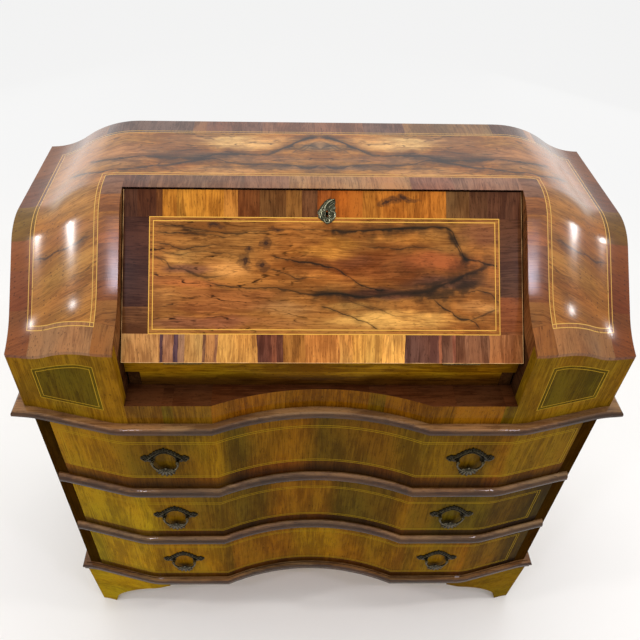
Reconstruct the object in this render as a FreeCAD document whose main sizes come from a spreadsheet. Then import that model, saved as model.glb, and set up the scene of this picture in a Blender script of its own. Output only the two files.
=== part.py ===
# Small fall-front bureau: serpentine chest of three long drawers, swept desk shoulders,
# a sloping fall on two hinges, lopers, a nest of small drawers and cast brass pulls.
# Frame: +Z up, X across (front seen from -Y), origin on the floor under the middle of the piece.
import FreeCAD, Part
import math
import os
import re
import Sketcher
from FreeCAD import Placement, Rotation, Vector

os.makedirs("parts", exist_ok=True)
doc = FreeCAD.newDocument("Bureau")

# Driving sizes in millimetres, slopes in degrees
drivingSizes = {
    # whole piece
    "overallDepth": 468,
    "caseWidth": 1000,
    "chestSet": 8,
    "footHeight": 157,
    "baseMouldingHeight": 21,
    "lowerDrawerHeight": 154,
    "middleDrawerHeight": 151,
    "upperDrawerHeight": 174,
    "dividerHeight": 22,
    "topMouldingHeight": 19.5,
    "deskHeight": 315.5,
    "cutOverrun": 60,
    # front curve seen from above
    "returnWidth": 175,
    "facetWidth": 145,
    "bayDepth": 37,
    "returnRadius": 120,
    "returnSlope": 14.5,
    "cornerRadius": 200,
    "cornerSlope": 5,
    # mouldings
    "topNose": 16.5,
    "topSide": 21,
    "topFillet": 2.5,
    "topNeck": 3,
    "baseNose": 8.5,
    "baseSide": 18,
    "baseFillet": 3,
    "dividerNose": 8.5,
    "dividerInset": 7,
    # chest boards
    "sideThickness": 22,
    "backThickness": 10,
    "frontDepth": 68,
    "dividerDepth": 98,
    "stileWidth": 25,
    "stileRecess": 3,
    "runnerWidth": 28,
    "runnerHeight": 16,
    # bracket feet
    "footProud": 11,
    "footThickness": 22,
    "footLength": 190,
    "footSideLength": 150,
    "footTaper": 10,
    "footToe": 42,
    "footHeelRise": 30,
    "footCuspSet": 9,
    "footCuspRise": 44,
    "footRail": 17,
    # long drawers
    "frontSetback": 2,
    "frontThickness": 22,
    "frontGap": 1,
    "stileGap": 1.5,
    "drawerSideSet": 17,
    "drawerSideThickness": 12,
    "drawerSideDrop": 22,
    "drawerBottomThickness": 8,
    "drawerBottomRise": 8,
    "drawerStopGap": 1.5,
    "slideGap": 0.3,
    # cast pulls
    "pullSet": 55,
    "pullRise": 3.5,
    "pullHalf": 43,
    "pullCrest": 35,
    "pullRim": 12,
    "pullPlateThickness": 2.5,
    "pullPostOffset": 16,
    "pullPostRadius": 3.5,
    "pullPostLength": 8.5,
    "bailSideGap": 1,
    "bailCorner": 3,
    "bailRodRadius": 2,
    "pivotGap": 0.08,
    "shellHalf": 10,
    "shellHeight": 17,
    "shellOverhang": 7.5,
    "shellThickness": 4.5,
    # desk body
    "wingWidth": 180.5,
    "wingDrop": 53.5,
    "wingFlat": 6,
    "wingConvexShare": 0.59,
    "wingThickness": 38,
    "wingLip": 6,
    "shoulderSet": 36,
    "shoulderRadius": 90,
    "shoulderSlope": 44,
    "lipRun": 131,
    "lipRadius": 160,
    "lipSlope": 20,
    "deskSideThickness": 22,
    "panelThickness": 20,
    "cheekThickness": 16.5,
    "deskTopThickness": 22,
    "deskFloorThickness": 20,
    "stepHeight": 44.5,
    "loperHeight": 32.4,
    "loperWidth": 20,
    "loperLength": 300,
    "loperSideGap": 1.5,
    "loperChamfer": 1,
    "railThickness": 20,
    "railSet": 2,
    "guideWidth": 20,
    "bedThickness": 22,
    # fall
    "hingeSet": 44.5,
    "hingeGap": 0.5,
    "fallSlope": 45,
    "fallSideGap": 1.5,
    "fallTopDrop": 21.5,
    "fallThickness": 22,
    "fallTopGap": 2.5,
    "fallStopGap": 0.5,
    "stopWidth": 13.5,
    "stopThickness": 12,
    "stopMargin": 30,
    "skinMargin": 55,
    "skinLockGap": 5,
    "skinThickness": 1.2,
    # hinges
    "hingeSideSet": 93,
    "hingeLength": 60,
    "leafWidth": 25,
    "leafThickness": 1.6,
    "barrelRadius": 3,
    "barrelGap": 0.5,
    "knuckleGap": 0.3,
    "hingePinRadius": 1.3,
    # lock
    "lockOffset": 5,
    "lockWidth": 60,
    "lockHeight": 50,
    "lockDepth": 13,
    "boltWidth": 22,
    "boltThickness": 4,
    "boltLength": 24,
    "boltSet": 0.5,
    "boltTravel": 7,
    "boltGap": 0.3,
    "boltRise": 4.5,
    "keyRise": 37,
    "keyholeRadius": 2.8,
    "keySlotWidth": 2.6,
    "keySlotLength": 9,
    "strikeHalf": 25,
    "strikeWidth": 12,
    "strikeThickness": 1.5,
    "mortiseGap": 5,
    "escutcheonLift": 3,
    "escutcheonHalfWidth": 15.5,
    "escutcheonHalfHeight": 21.5,
    "escutcheonThickness": 2,
    # nest of small drawers and pigeonholes
    "nestSetback": 20.5,
    "nestBoard": 8,
    "nestRow": 62,
    "nestSideGap": 1.5,
    "nestDividerShare": 0.3365,
    "pigeonholes": 5,
    "uprightScoop": 34,
    "smallGap": 1,
    "smallWall": 6,
    "smallFront": 12,
    "smallRearGap": 10,
    "smallWallDrop": 9,
    "knobRadius": 8,
    "knobNeck": 3.5,
    "knobLength": 13,
}

# Places that follow from the driving sizes
derivedPlaces = {
    "backY": "overallDepth / 2",
    "backInnerY": "backY - backThickness",
    "facetY": "topNose - backY",
    "frameY": "facetY + frontDepth",
    "halfCase": "caseWidth / 2",
    "halfChest": "halfCase - chestSet",
    "chestSideInner": "halfChest - sideThickness",
    "stileInner": "halfChest - stileWidth",
    "dividerHalf": "halfChest - dividerInset",
    "footHalf": "halfChest + footProud",
    "footArchRise": "footHeight - footRail",
    "facetEnd": "halfCase - returnWidth",
    "bayHalf": "facetEnd - facetWidth",
    "lowerFloor": "footHeight + baseMouldingHeight",
    "lowerRail": "lowerFloor + lowerDrawerHeight",
    "middleFloor": "lowerRail + dividerHeight",
    "upperRail": "middleFloor + middleDrawerHeight",
    "upperFloor": "upperRail + dividerHeight",
    "mouldingZ": "upperFloor + upperDrawerHeight",
    "deskZ": "mouldingZ + topMouldingHeight",
    "topZ": "deskZ + deskHeight",
    "stepZ": "deskZ + stepHeight",
    "deskFloorZ": "stepZ - deskFloorThickness",
    "bedZ": "stepZ + loperHeight + slideGap * 2",
    "bedTop": "bedZ + bedThickness",
    "hingeY": "facetY + hingeSet",
    "bedFront": "hingeY + hingeGap",
    "railY": "bedFront + railSet",
    "wingInner": "halfCase - wingWidth",
    "wingFlatEnd": "wingInner + wingFlat",
    "loperOuter": "wingInner - loperSideGap - slideGap",
    "loperInner": "loperOuter - loperWidth",
    "deep": "caseWidth + overallDepth",
    "fallHalf": "wingInner - fallSideGap",
    "fallLength": "(topZ - bedTop - fallTopDrop) / sin(fallSlope)",
    "fallEndY": "fallLength + fallTopGap",
    "fallReach": "fallLength * cos(fallSlope)",
    "shoulderY": "hingeY + fallReach - shoulderSet",
    "lipY": "shoulderY - lipRun",
    "hingeOffset": "fallHalf - hingeSideSet",
    "keyY": "fallLength - keyRise",
    "escutcheonY": "keyY + escutcheonLift",
    "mortiseDepth": "boltTravel - boltSet - fallTopGap + mortiseGap",
    "nestZ": "bedTop",
    "nestHalf": "wingInner - nestSideGap",
    "nestY": "hingeY + fallReach + nestSetback",
    "nestDepth": "backInnerY - nestY",
    "shelfZ": "bedTop + nestRow",
    "nestTop": "topZ - deskTopThickness",
    "nestDividerOffset": "nestHalf * nestDividerShare",
    "smallDepth": "nestDepth - smallRearGap",
    "pullOffset": "facetEnd - pullSet",
    "pullArch": "pullCrest - pullRim",
    "pullPlateY": "facetY + frontSetback - pullPlateThickness",
    "bailY": "pullPlateY - pullPostLength + pullPostRadius",
    "bailHalf": "pullPostOffset + pullPostRadius + bailRodRadius + bailSideGap",
    "shellDrop": "bailHalf + bailCorner + shellOverhang",
}


def withSheets(formula, derived="Places."):
    """Return a formula with each alias written with the name of its sheet."""
    def named(match):
        word = match.group(0)
        if word in drivingSizes:
            return "Sizes." + word
        if word in derivedPlaces:
            return derived + word
        return word
    return re.sub(r"[A-Za-z]\w*", named, formula)


def fillSheet(name, cells):
    """Make a spreadsheet whose second column holds the cells under their aliases."""
    sheet = doc.addObject("Spreadsheet::Sheet", name)
    for row, (alias, content) in enumerate(cells.items(), start=1):
        sheet.set("A%d" % row, alias)
        sheet.set("B%d" % row, content)
        sheet.setAlias("B%d" % row, alias)
    return sheet


sizes = fillSheet("Sizes", {alias: str(number) for alias, number in drivingSizes.items()})
doc.recompute()
places = fillSheet("Places", {alias: "=" + withSheets(formula, derived="")
                              for alias, formula in derivedPlaces.items()})
doc.recompute()


def size(alias):
    """Read one size or place from the sheets."""
    sheet = sizes if alias in drivingSizes else places
    return float(sheet.get(alias))


subParts = []


def keep(obj, label):
    """Label an object as a sub-part to be written out."""
    obj.Label = label
    subParts.append(obj)
    return obj


def feature(label, shape, placement=None):
    """Keep a shape made by code as a sub-part."""
    obj = doc.addObject("Part::Feature", label)
    obj.Shape = shape
    if placement:
        obj.Placement = placement
    return keep(obj, label)


def bindBox(name, low, span):
    """Make a box whose corner and spans are bound to formulas."""
    box = doc.addObject("Part::Box", name)
    for side, formula in zip(("Length", "Width", "Height"), span):
        box.setExpression(side, withSheets(formula))
    for axis, formula in zip("xyz", low):
        box.setExpression("Placement.Base." + axis, withSheets(formula))
    return box


def board(label, low, span):
    """Keep a single rectangular board as a sub-part."""
    return keep(bindBox(label, low, span), label)


def group(label, members):
    """Keep several separate solids as one sub-part."""
    compound = doc.addObject("Part::Compound", label)
    compound.Links = members
    return keep(compound, label)


def block(x, y, z):
    """Return a plain box between pairs of coordinates."""
    corner = Vector(x[0], y[0], z[0])
    return Part.makeBox(x[1] - x[0], y[1] - y[0], z[1] - z[0], corner)


def mirrored(shape):
    """Return the left-hand twin of a right-hand shape."""
    return shape.mirror(Vector(0, 0, 0), Vector(1, 0, 0))


def closedWire(steps, place):
    """Join points (u, v) and arcs ((u, v) through, (u, v) end) into a closed wire."""
    edges = []
    here = steps[0]
    for step in steps[1:] + [steps[0]]:
        if isinstance(step[0], tuple):
            through, end = step
            edges.append(Part.Arc(place(*here), place(*through), place(*end)).toShape())
        else:
            end = step
            if end != here:
                edges.append(Part.LineSegment(place(*here), place(*end)).toShape())
        here = end
    return Part.Wire(edges)


def sweepUnturned(profile, spine, normal):
    """Sweep a closed profile along a spine without turning it."""
    pipe = Part.BRepOffsetAPI.MakePipeShell(spine)
    pipe.setTrihedronMode(Vector(0, 0, 0), normal)
    pipe.add(profile, False, False)
    pipe.build()
    pipe.makeSolid()
    return pipe.shape()


# Front curve: a concave bay between two flat facets, then an S-shaped return to each corner

def frontCurve():
    """Return the right half of the front curve as points, each with the arc that leads to it."""
    facetY = size("facetY")
    bayHalf = size("bayHalf")
    bayDepth = size("bayDepth")
    facetEnd = size("facetEnd")
    steep = math.radians(size("returnSlope"))
    last = math.radians(size("cornerSlope"))
    outRadius = size("returnRadius")
    inRadius = size("cornerRadius")
    bayRadius = (bayHalf ** 2 + bayDepth ** 2) / (2 * bayDepth)
    bayCentreY = facetY + bayDepth - bayRadius

    def onBay(x):
        return Vector(x, bayCentreY + math.sqrt(bayRadius ** 2 - x ** 2), 0)

    def onReturn(angle):
        return Vector(facetEnd + outRadius * math.sin(angle), facetY + outRadius * (1 - math.cos(angle)), 0)

    straightStart = onReturn(steep)
    cornerStartX = size("halfCase") - inRadius * (math.sin(steep) - math.sin(last))
    cornerStartY = straightStart.y + (cornerStartX - straightStart.x) * math.tan(steep)

    def onCorner(angle):
        across = inRadius * (math.sin(steep) - math.sin(angle))
        back = inRadius * (math.cos(angle) - math.cos(steep))
        return Vector(cornerStartX + across, cornerStartY + back, 0)

    corner = onCorner(last)
    reach = size("cutOverrun")
    return [
        (None, onBay(0)),
        (onBay(bayHalf / 2), onBay(bayHalf)),
        (None, Vector(facetEnd, facetY, 0)),
        (onReturn(steep / 2), straightStart),
        (None, onCorner(steep)),
        (onCorner((steep + last) / 2), corner),
        (None, corner + Vector(reach, reach * math.tan(last), 0)),
    ]


def frontSpine():
    """Return the whole front curve as a wire that starts at its left end."""
    def flip(point):
        return Vector(-point.x, point.y, point.z)

    half = frontCurve()
    left = []
    right = []
    for (_, start), (through, end) in zip(half[:-1], half[1:]):
        if through is None:
            right.append(Part.LineSegment(start, end).toShape())
            left.insert(0, Part.LineSegment(flip(end), flip(start)).toShape())
        else:
            right.append(Part.Arc(start, through, end).toShape())
            left.insert(0, Part.Arc(flip(end), flip(through), flip(start)).toShape())
    return Part.Wire(left + right)


spine = frontSpine()
spineStart = spine.Vertexes[0].Point


def frontBand(steps):
    """Sweep an outline of (forward, height) points along the front curve."""
    def place(forward, height):
        return Vector(spineStart.x, spineStart.y - forward, height)

    return sweepUnturned(closedWire(steps, place), spine, Vector(0, 0, 1))


def frontSlab(forward, behind, low, high):
    """Return a plain band that follows the front curve between two offsets."""
    return frontBand([(behind, low), (forward, low), (forward, high), (behind, high)])


def acrossBlock(halfWidth, yLow, yHigh, low, high):
    """Return a box centred across the piece."""
    return block((-halfWidth, halfWidth), (yLow, yHigh), (low, high))


frontLimit = -size("overallDepth")
backY = size("backY")
frameY = size("frameY")
deep = size("deep")
overrun = size("cutOverrun")


def mouldedFrame(steps, sideNose, nose, low, high):
    """Mould a slab along the front and round both sides; steps hold (forward, height)."""
    back = -deep
    outline = [(back, low)] + steps + [(back, high)]
    front = frontBand(outline)

    def place(forward, height):
        return Vector(sideNose - nose + forward, frontLimit, height)

    side = Part.Face(closedWire(outline, place)).extrude(Vector(0, backY - frontLimit, 0))
    slab = side.common(mirrored(side))
    return front.common(slab)


# Mouldings of the chest

def topMoulding():
    """Frame with a thumb moulding: fillet under, round nose, flat top."""
    low = size("mouldingZ")
    high = size("deskZ")
    tall = high - low
    nose = size("topNose")
    neck = size("topNeck")
    fillet = size("topFillet")
    noseRiseShare = 0.45
    coveShare = 0.35
    noseZ = low + tall * noseRiseShare
    steps = [
        (neck, low),
        (neck, low + fillet),
        ((neck + (nose - neck) * coveShare, low + (noseZ - low) * coveShare * 2), (nose - fillet, noseZ)),
        (nose, noseZ),
        (nose, noseZ + fillet),
        ((nose - (nose - neck) * coveShare / 2, high - (high - noseZ) * coveShare / 2),
         (neck + fillet, high)),
    ]
    frame = mouldedFrame(steps, size("halfCase") + size("topSide"), nose, low, high)
    inner = size("chestSideInner")
    return frame.cut(acrossBlock(inner, frameY, backY + overrun, low - overrun, high + overrun))


def baseMoulding():
    """Frame with a bead over a fillet, round the foot of the chest."""
    low = size("footHeight")
    high = size("lowerFloor")
    nose = size("baseNose")
    fillet = size("baseFillet")
    beadLow = low + fillet * 2
    beadHigh = high - fillet
    steps = [
        (0, low),
        (nose - fillet, low),
        (nose - fillet, beadLow),
        ((nose, (beadLow + beadHigh) / 2), (nose - fillet, beadHigh)),
        (0, beadHigh),
        (0, high),
    ]
    frame = mouldedFrame(steps, size("halfChest") + size("baseSide"), nose, low, high)
    inner = size("halfChest")
    return frame.cut(acrossBlock(inner, frameY, backY + overrun, low - overrun, high + overrun))


feature("top_moulding", topMoulding())
feature("base_moulding", baseMoulding())


# Corner stiles: dark posts that follow the front curve, a little behind it

def stileRight():
    """Right-hand corner stile between the two mouldings."""
    low = size("lowerFloor")
    high = size("mouldingZ")
    band = frontSlab(-size("stileRecess"), -deep, low, high)
    return band.common(block((size("stileInner"), size("halfChest")), (frontLimit, frameY), (low, high)))


rightStile = stileRight()
feature("stile_right", rightStile)
feature("stile_left", mirrored(rightStile))


def dividerRail(low):
    """Rail between two drawers, with a half-round nose that runs over the stiles."""
    high = low + size("dividerHeight")
    nose = size("dividerNose")
    band = frontBand([(-deep, low), (0, low), ((nose, (low + high) / 2), (0, high)), (-deep, high)])
    ahead = acrossBlock(size("dividerHalf"), frontLimit, frameY, low, high)
    behind = acrossBlock(size("chestSideInner"), frameY, size("facetY") + size("dividerDepth"), low, high)
    rail = band.common(ahead.fuse(behind))
    return rail.cut(rightStile).cut(mirrored(rightStile)).removeSplitter()


feature("divider_rail_lower", dividerRail(size("lowerRail")))
feature("divider_rail_upper", dividerRail(size("upperRail")))

# Boards of the chest
for label, low in (("chest_side_left", "-halfChest"), ("chest_side_right", "chestSideInner")):
    board(label, (low, "frameY", "footHeight"),
          ("sideThickness", "backY - frameY", "mouldingZ - footHeight"))
board("chest_bottom", ("-chestSideInner", "frameY", "footHeight"),
      ("chestSideInner * 2", "backY - frameY", "baseMouldingHeight"))
board("chest_top_board", ("-chestSideInner", "frameY", "mouldingZ"),
      ("chestSideInner * 2", "backY - frameY", "topMouldingHeight"))
board("chest_back", ("-chestSideInner", "backInnerY", "lowerFloor"),
      ("chestSideInner * 2", "backThickness", "mouldingZ - lowerFloor"))

runners = []
for level in ("middle", "upper"):
    for side, low in (("left", "-chestSideInner"), ("right", "chestSideInner - runnerWidth")):
        runners.append(bindBox("runner_%s_%s" % (level, side),
                               (low, "facetY + dividerDepth", level + "Floor - runnerHeight"),
                               ("runnerWidth", "backInnerY - facetY - dividerDepth", "runnerHeight")))
group("drawer_runners", runners)


# Bracket feet with a scrolled inner edge

def bracketSteps(length):
    """Outline of a bracket from its outer edge inwards: toe, heel, cusp, arch, top."""
    toe = size("footToe")
    heel = size("footHeelRise")
    cuspSet = size("footCuspSet")
    cusp = size("footCuspRise")
    arch = size("footArchRise")
    top = size("footHeight")
    archBulgeShare = 0.06
    start = toe + cuspSet * 2
    middle = ((start + length) / 2 - (arch - cusp) * archBulgeShare,
              (cusp + arch) / 2 + (length - start) * archBulgeShare)
    return [(0, 0), (toe, 0), (toe + cuspSet, heel), (start, cusp), (middle, (length, arch)),
            (length, top), (0, top)]


def sideBracket(yOuter, direction):
    """Right-hand bracket along the side; direction is +1 towards the back, -1 towards the front."""
    outer = size("footHalf")

    def place(along, height):
        return Vector(outer - size("footThickness"), yOuter + direction * along, height)

    face = Part.Face(closedWire(bracketSteps(size("footSideLength")), place))
    return face.extrude(Vector(size("footThickness"), 0, 0))


def taperTool():
    """Wedge outside the foot that leans its outer face inwards towards the floor."""
    outer = size("footHalf")
    top = size("footHeight")

    def place(across, height):
        return Vector(across, frontLimit, height)

    wedge = [(outer - size("footTaper"), 0), (outer + overrun, 0), (outer + overrun, top), (outer, top)]
    return Part.Face(closedWire(wedge, place)).extrude(Vector(0, deep, 0))


def footFrontRight():
    """Right front foot: one bracket on the serpentine front, one along the side."""
    outer = size("footHalf")
    top = size("footHeight")

    def place(along, height):
        return Vector(outer - along, frontLimit, height)

    scroll = Part.Face(closedWire(bracketSteps(size("footLength")), place)).extrude(Vector(0, deep, 0))
    front = frontSlab(0, -size("footThickness"), 0, top).common(scroll)
    cornerY = frontCurve()[-2][1].y
    side = sideBracket(cornerY, 1)
    ahead = frontSlab(deep, 0, 0, top)
    return front.fuse(side).cut(ahead).cut(taperTool()).removeSplitter()


def footRearRight():
    """Right rear foot: a bracket along the side and a plain one across the back."""
    outer = size("footHalf")
    top = size("footHeight")
    slopeShare = 0.6
    slopeEnd = size("footSideLength") * slopeShare

    def place(along, height):
        return Vector(outer - along, backY - size("footThickness"), height)

    back = closedWire([(0, 0), (size("footToe"), 0), (slopeEnd, top), (0, top)], place)
    back = Part.Face(back).extrude(Vector(0, size("footThickness"), 0))
    return sideBracket(backY, -1).fuse(back).cut(taperTool()).removeSplitter()


frontFoot = footFrontRight()
feature("foot_front_right", frontFoot)
feature("foot_front_left", mirrored(frontFoot))
rearFoot = footRearRight()
feature("feet_rear", Part.makeCompound([rearFoot, mirrored(rearFoot)]))


# Long drawers: serpentine front, sides let to its curve, back and bottom

def drawerFront(low, high):
    """Curved drawer front of even thickness."""
    gap = size("frontGap")
    setback = size("frontSetback")
    band = frontSlab(-setback, -setback - size("frontThickness"), low + gap, high - gap)
    return band.common(acrossBlock(size("stileInner") - size("stileGap"), frontLimit, backY, low, high))


def drawerBox(low, high):
    """Sides, back and bottom of a drawer as four separate boards."""
    bottom = low + size("slideGap")
    sideTop = high - size("drawerSideDrop")
    thick = size("drawerSideThickness")
    outer = size("stileInner") - size("drawerSideSet") + thick
    rear = size("backInnerY") - size("drawerStopGap")
    behindFront = -size("frontSetback") - size("frontThickness")
    band = frontSlab(behindFront, -deep, bottom, sideTop)
    side = band.common(block((outer - thick, outer), (frontLimit, rear), (bottom, sideTop)))
    inner = outer - thick
    back = acrossBlock(inner, rear - thick, rear, bottom, sideTop)
    floorLow = bottom + size("drawerBottomRise")
    floorHigh = floorLow + size("drawerBottomThickness")
    floor = band.common(acrossBlock(inner, frontLimit, rear - thick, floorLow, floorHigh))
    return Part.makeCompound([side, mirrored(side), back, floor])


# Cast pulls: an arched plate with leaf tips and two posts, and a bail with a shell

def pullPlate(centreX, centreZ):
    """Pierced plate with its posts, bored for the bail."""
    half = size("pullHalf")
    crest = size("pullCrest")
    arch = size("pullArch")
    plateY = size("pullPlateY")
    outerShares = [(1, 0), (0.8, 0.17), (0.62, 0.1), (0.52, 0.34), (0.4, 0.6), (0.22, 0.72), (0.14, 0.92)]
    right = [(half * across, crest * up) for across, up in outerShares]
    left = [(-across, up) for across, up in reversed(right)]
    innerHalf = size("pullPostOffset") - size("pullPostRadius")
    lowerShare = 0.14
    lower = [(-half * outerShares[2][0], -crest * lowerShare), (-innerHalf, -crest * lowerShare)]
    opening = [((0, arch), (innerHalf, -crest * lowerShare))]
    lowerRight = [(half * outerShares[2][0], -crest * lowerShare)]
    steps = right + [(0, crest)] + left + lower + opening + lowerRight

    def place(across, up):
        return Vector(centreX + across, plateY, centreZ + up)

    plate = Part.Face(closedWire(steps, place)).extrude(Vector(0, size("pullPlateThickness"), 0))
    for side in (-1, 1):
        foot = Vector(centreX + side * size("pullPostOffset"), plateY, centreZ)
        length = size("pullPostLength")
        plate = plate.fuse(Part.makeCylinder(size("pullPostRadius"), length, foot, Vector(0, -1, 0)))
    bore = Part.makeCylinder(size("bailRodRadius") + size("pivotGap"), half * 2,
                             Vector(centreX - half, size("bailY"), centreZ), Vector(1, 0, 0))
    return plate.cut(bore).removeSplitter()


def pullBail(centreX, centreZ):
    """Round rod bent to a half ring between the posts, with a fan-shaped shell below."""
    half = size("bailHalf")
    corner = size("bailCorner")
    rod = size("bailRodRadius")
    bailY = size("bailY")
    tipX = size("pullPostOffset") - size("pullPostRadius")
    bend = corner * (1 - math.sqrt(0.5))

    def place(across, up):
        return Vector(centreX + across, bailY, centreZ + up)

    path = Part.Wire([
        Part.LineSegment(place(-tipX, 0), place(corner - half, 0)).toShape(),
        Part.Arc(place(corner - half, 0), place(bend - half, -bend), place(-half, -corner)).toShape(),
        Part.Arc(place(-half, -corner), place(0, -corner - half), place(half, -corner)).toShape(),
        Part.Arc(place(half, -corner), place(half - bend, -bend), place(half - corner, 0)).toShape(),
        Part.LineSegment(place(half - corner, 0), place(tipX, 0)).toShape(),
    ])
    section = Part.Wire(Part.makeCircle(rod, place(-tipX, 0), Vector(1, 0, 0)))
    pipe = path.makePipeShell([section], True, False)
    shellHalf = size("shellHalf")
    shellTop = -size("shellDrop") + size("shellHeight")
    shellLow = -size("shellDrop")
    waistShare = 0.45
    shoulderShare = 0.5
    shoulderZ = shellLow + size("shellHeight") * shoulderShare
    steps = [
        (-shellHalf * waistShare, shellTop),
        (-shellHalf, shoulderZ),
        ((0, shellLow), (shellHalf, shoulderZ)),
        (shellHalf * waistShare, shellTop),
    ]
    thick = size("shellThickness")
    shell = Part.Face(closedWire(steps, place)).extrude(Vector(0, thick, 0))
    shell.translate(Vector(0, -thick / 2, 0))
    return pipe.fuse(shell).removeSplitter()


for name in ("lower", "middle", "upper"):
    low = size(name + "Floor")
    high = low + size(name + "DrawerHeight")
    feature("drawer_%s_front" % name, drawerFront(low, high))
    feature("drawer_%s_box" % name, drawerBox(low, high))
    pullZ = (low + high) / 2 + size("pullRise")
    plates = [pullPlate(side * size("pullOffset"), pullZ) for side in (-1, 1)]
    feature("pull_plates_" + name, Part.makeCompound(plates))
    for side, word in ((-1, "left"), (1, "right")):
        feature("bail_%s_%s" % (name, word), pullBail(side * size("pullOffset"), pullZ))


# Swept shoulders: the height falls along Y by the crown curve and along X by the wing curve

def crownSpine(x):
    """Wire along the crown: flat top, round shoulder, slope, hollow, lip."""
    topZ = size("topZ")
    steep = math.radians(size("shoulderSlope"))
    easy = math.radians(size("lipSlope"))
    roundRadius = size("shoulderRadius")
    hollowRadius = size("lipRadius")
    breakY = size("shoulderY")
    lipY = size("lipY")
    lipZ = topZ - math.tan(steep) * (breakY - lipY)
    roundReach = roundRadius * math.tan(steep / 2)
    hollowReach = hollowRadius * math.tan((steep - easy) / 2)

    def along(y, z, angle, distance):
        return Vector(x, y - distance * math.cos(angle), z - distance * math.sin(angle))

    roundStart = Vector(x, breakY + roundReach, topZ)
    roundEnd = along(breakY, topZ, steep, roundReach)
    roundMiddle = Vector(x, roundStart.y - roundRadius * math.sin(steep / 2),
                         topZ - roundRadius * (1 - math.cos(steep / 2)))
    hollowStart = along(lipY, lipZ, steep, -hollowReach)
    hollowEnd = along(lipY, lipZ, easy, hollowReach)
    centre = hollowStart + Vector(0, -math.sin(steep), math.cos(steep)) * hollowRadius
    middleAngle = (steep + easy) / 2
    hollowMiddle = centre - Vector(0, -math.sin(middleAngle), math.cos(middleAngle)) * hollowRadius
    lipEnd = along(hollowEnd.y, hollowEnd.z, easy, (hollowEnd.y - frontLimit) / math.cos(easy))
    return Part.Wire([
        Part.LineSegment(Vector(x, backY, topZ), roundStart).toShape(),
        Part.Arc(roundStart, roundMiddle, roundEnd).toShape(),
        Part.LineSegment(roundEnd, hollowStart).toShape(),
        Part.Arc(hollowStart, hollowMiddle, hollowEnd).toShape(),
        Part.LineSegment(hollowEnd, lipEnd).toShape(),
    ])


def wingBand(upper, lower):
    """Right-hand solid between two copies of the shoulder surface, each moved down."""
    inner = size("wingInner")
    flatEnd = size("wingFlatEnd")
    outer = size("halfCase")
    drop = size("wingDrop")
    topZ = size("topZ")
    run = outer - flatEnd
    radiusSum = (run ** 2 + drop ** 2) / (2 * drop)
    convex = radiusSum * size("wingConvexShare")
    concave = radiusSum - convex
    turn = math.asin(run / radiusSum)

    def onConvex(angle):
        return (flatEnd + convex * math.sin(angle), -convex * (1 - math.cos(angle)))

    def onConcave(angle):
        return (outer - concave * math.sin(angle), -drop + concave * (1 - math.cos(angle)))

    def lowered(point):
        return (point[0], point[1] - (lower - upper))

    middle = onConvex(turn)
    edge = (outer, -drop)
    steps = [
        (inner, 0),
        (flatEnd, 0),
        (onConvex(turn / 2), middle),
        (onConcave(turn / 2), edge),
        lowered(edge),
        (lowered(onConcave(turn / 2)), lowered(middle)),
        (lowered(onConvex(turn / 2)), lowered((flatEnd, 0))),
        lowered((inner, 0)),
    ]

    def place(across, up):
        return Vector(across, backY, topZ - upper + up)

    shifted = crownSpine(inner)
    shifted.translate(Vector(0, 0, -upper))
    return sweepUnturned(closedWire(steps, place), shifted, Vector(1, 0, 0))


deskZ = size("deskZ")
topZ = size("topZ")
wingInner = size("wingInner")
halfCase = size("halfCase")
underLip = wingBand(size("wingLip"), size("deskHeight") + overrun)
underWing = wingBand(size("wingThickness"), size("deskHeight") + overrun)
behindPanel = frontSlab(-size("panelThickness"), -deep, deskZ, topZ)
behindFront = frontSlab(0, -deep, deskZ, topZ)
deskDepth = (frontLimit, backY)

panel = frontSlab(0, -size("panelThickness"), deskZ, topZ)
panel = panel.common(block((wingInner, halfCase), deskDepth, (deskZ, topZ))).common(underLip)
deskSide = block((halfCase - size("deskSideThickness"), halfCase), deskDepth, (deskZ, topZ))
deskSide = deskSide.common(behindPanel).common(underLip)
wing = wingBand(0, size("wingThickness")).common(behindFront).cut(panel).cut(deskSide)
feature("wing_right", wing)
feature("wing_left", mirrored(wing))
feature("wing_panel_right", panel)
feature("wing_panel_left", mirrored(panel))
feature("desk_side_right", deskSide)
feature("desk_side_left", mirrored(deskSide))

# Frame of the fall: origin on the hinge axis, x across, y up the slope, z out of the outer face
fallFrame = Placement(Vector(0, size("hingeY"), size("bedTop")),
                      Rotation(Vector(1, 0, 0), size("fallSlope")))


def inFallFrame(x, y, z):
    """Return a box given in the frame of the fall, turned into the frame of the piece."""
    shape = block(x, y, z)
    shape.Placement = fallFrame.multiply(shape.Placement)
    return shape


def cheekRight():
    """Inner wall beside the fall, with the strip that the closed fall rests on."""
    outer = wingInner + size("cheekThickness")
    wall = behindPanel.common(block((wingInner, outer), (frontLimit, size("backInnerY")), (deskZ, topZ)))
    wall = wall.common(underWing)
    strip = inFallFrame((wingInner - size("stopWidth"), wingInner),
                        (size("stopMargin"), size("fallLength") - size("stopMargin")),
                        (-size("fallStopGap") - size("stopThickness"), -size("fallStopGap")))
    return wall.fuse(strip).removeSplitter()


cheek = cheekRight()
feature("cheek_right", cheek)
feature("cheek_left", mirrored(cheek))


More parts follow.
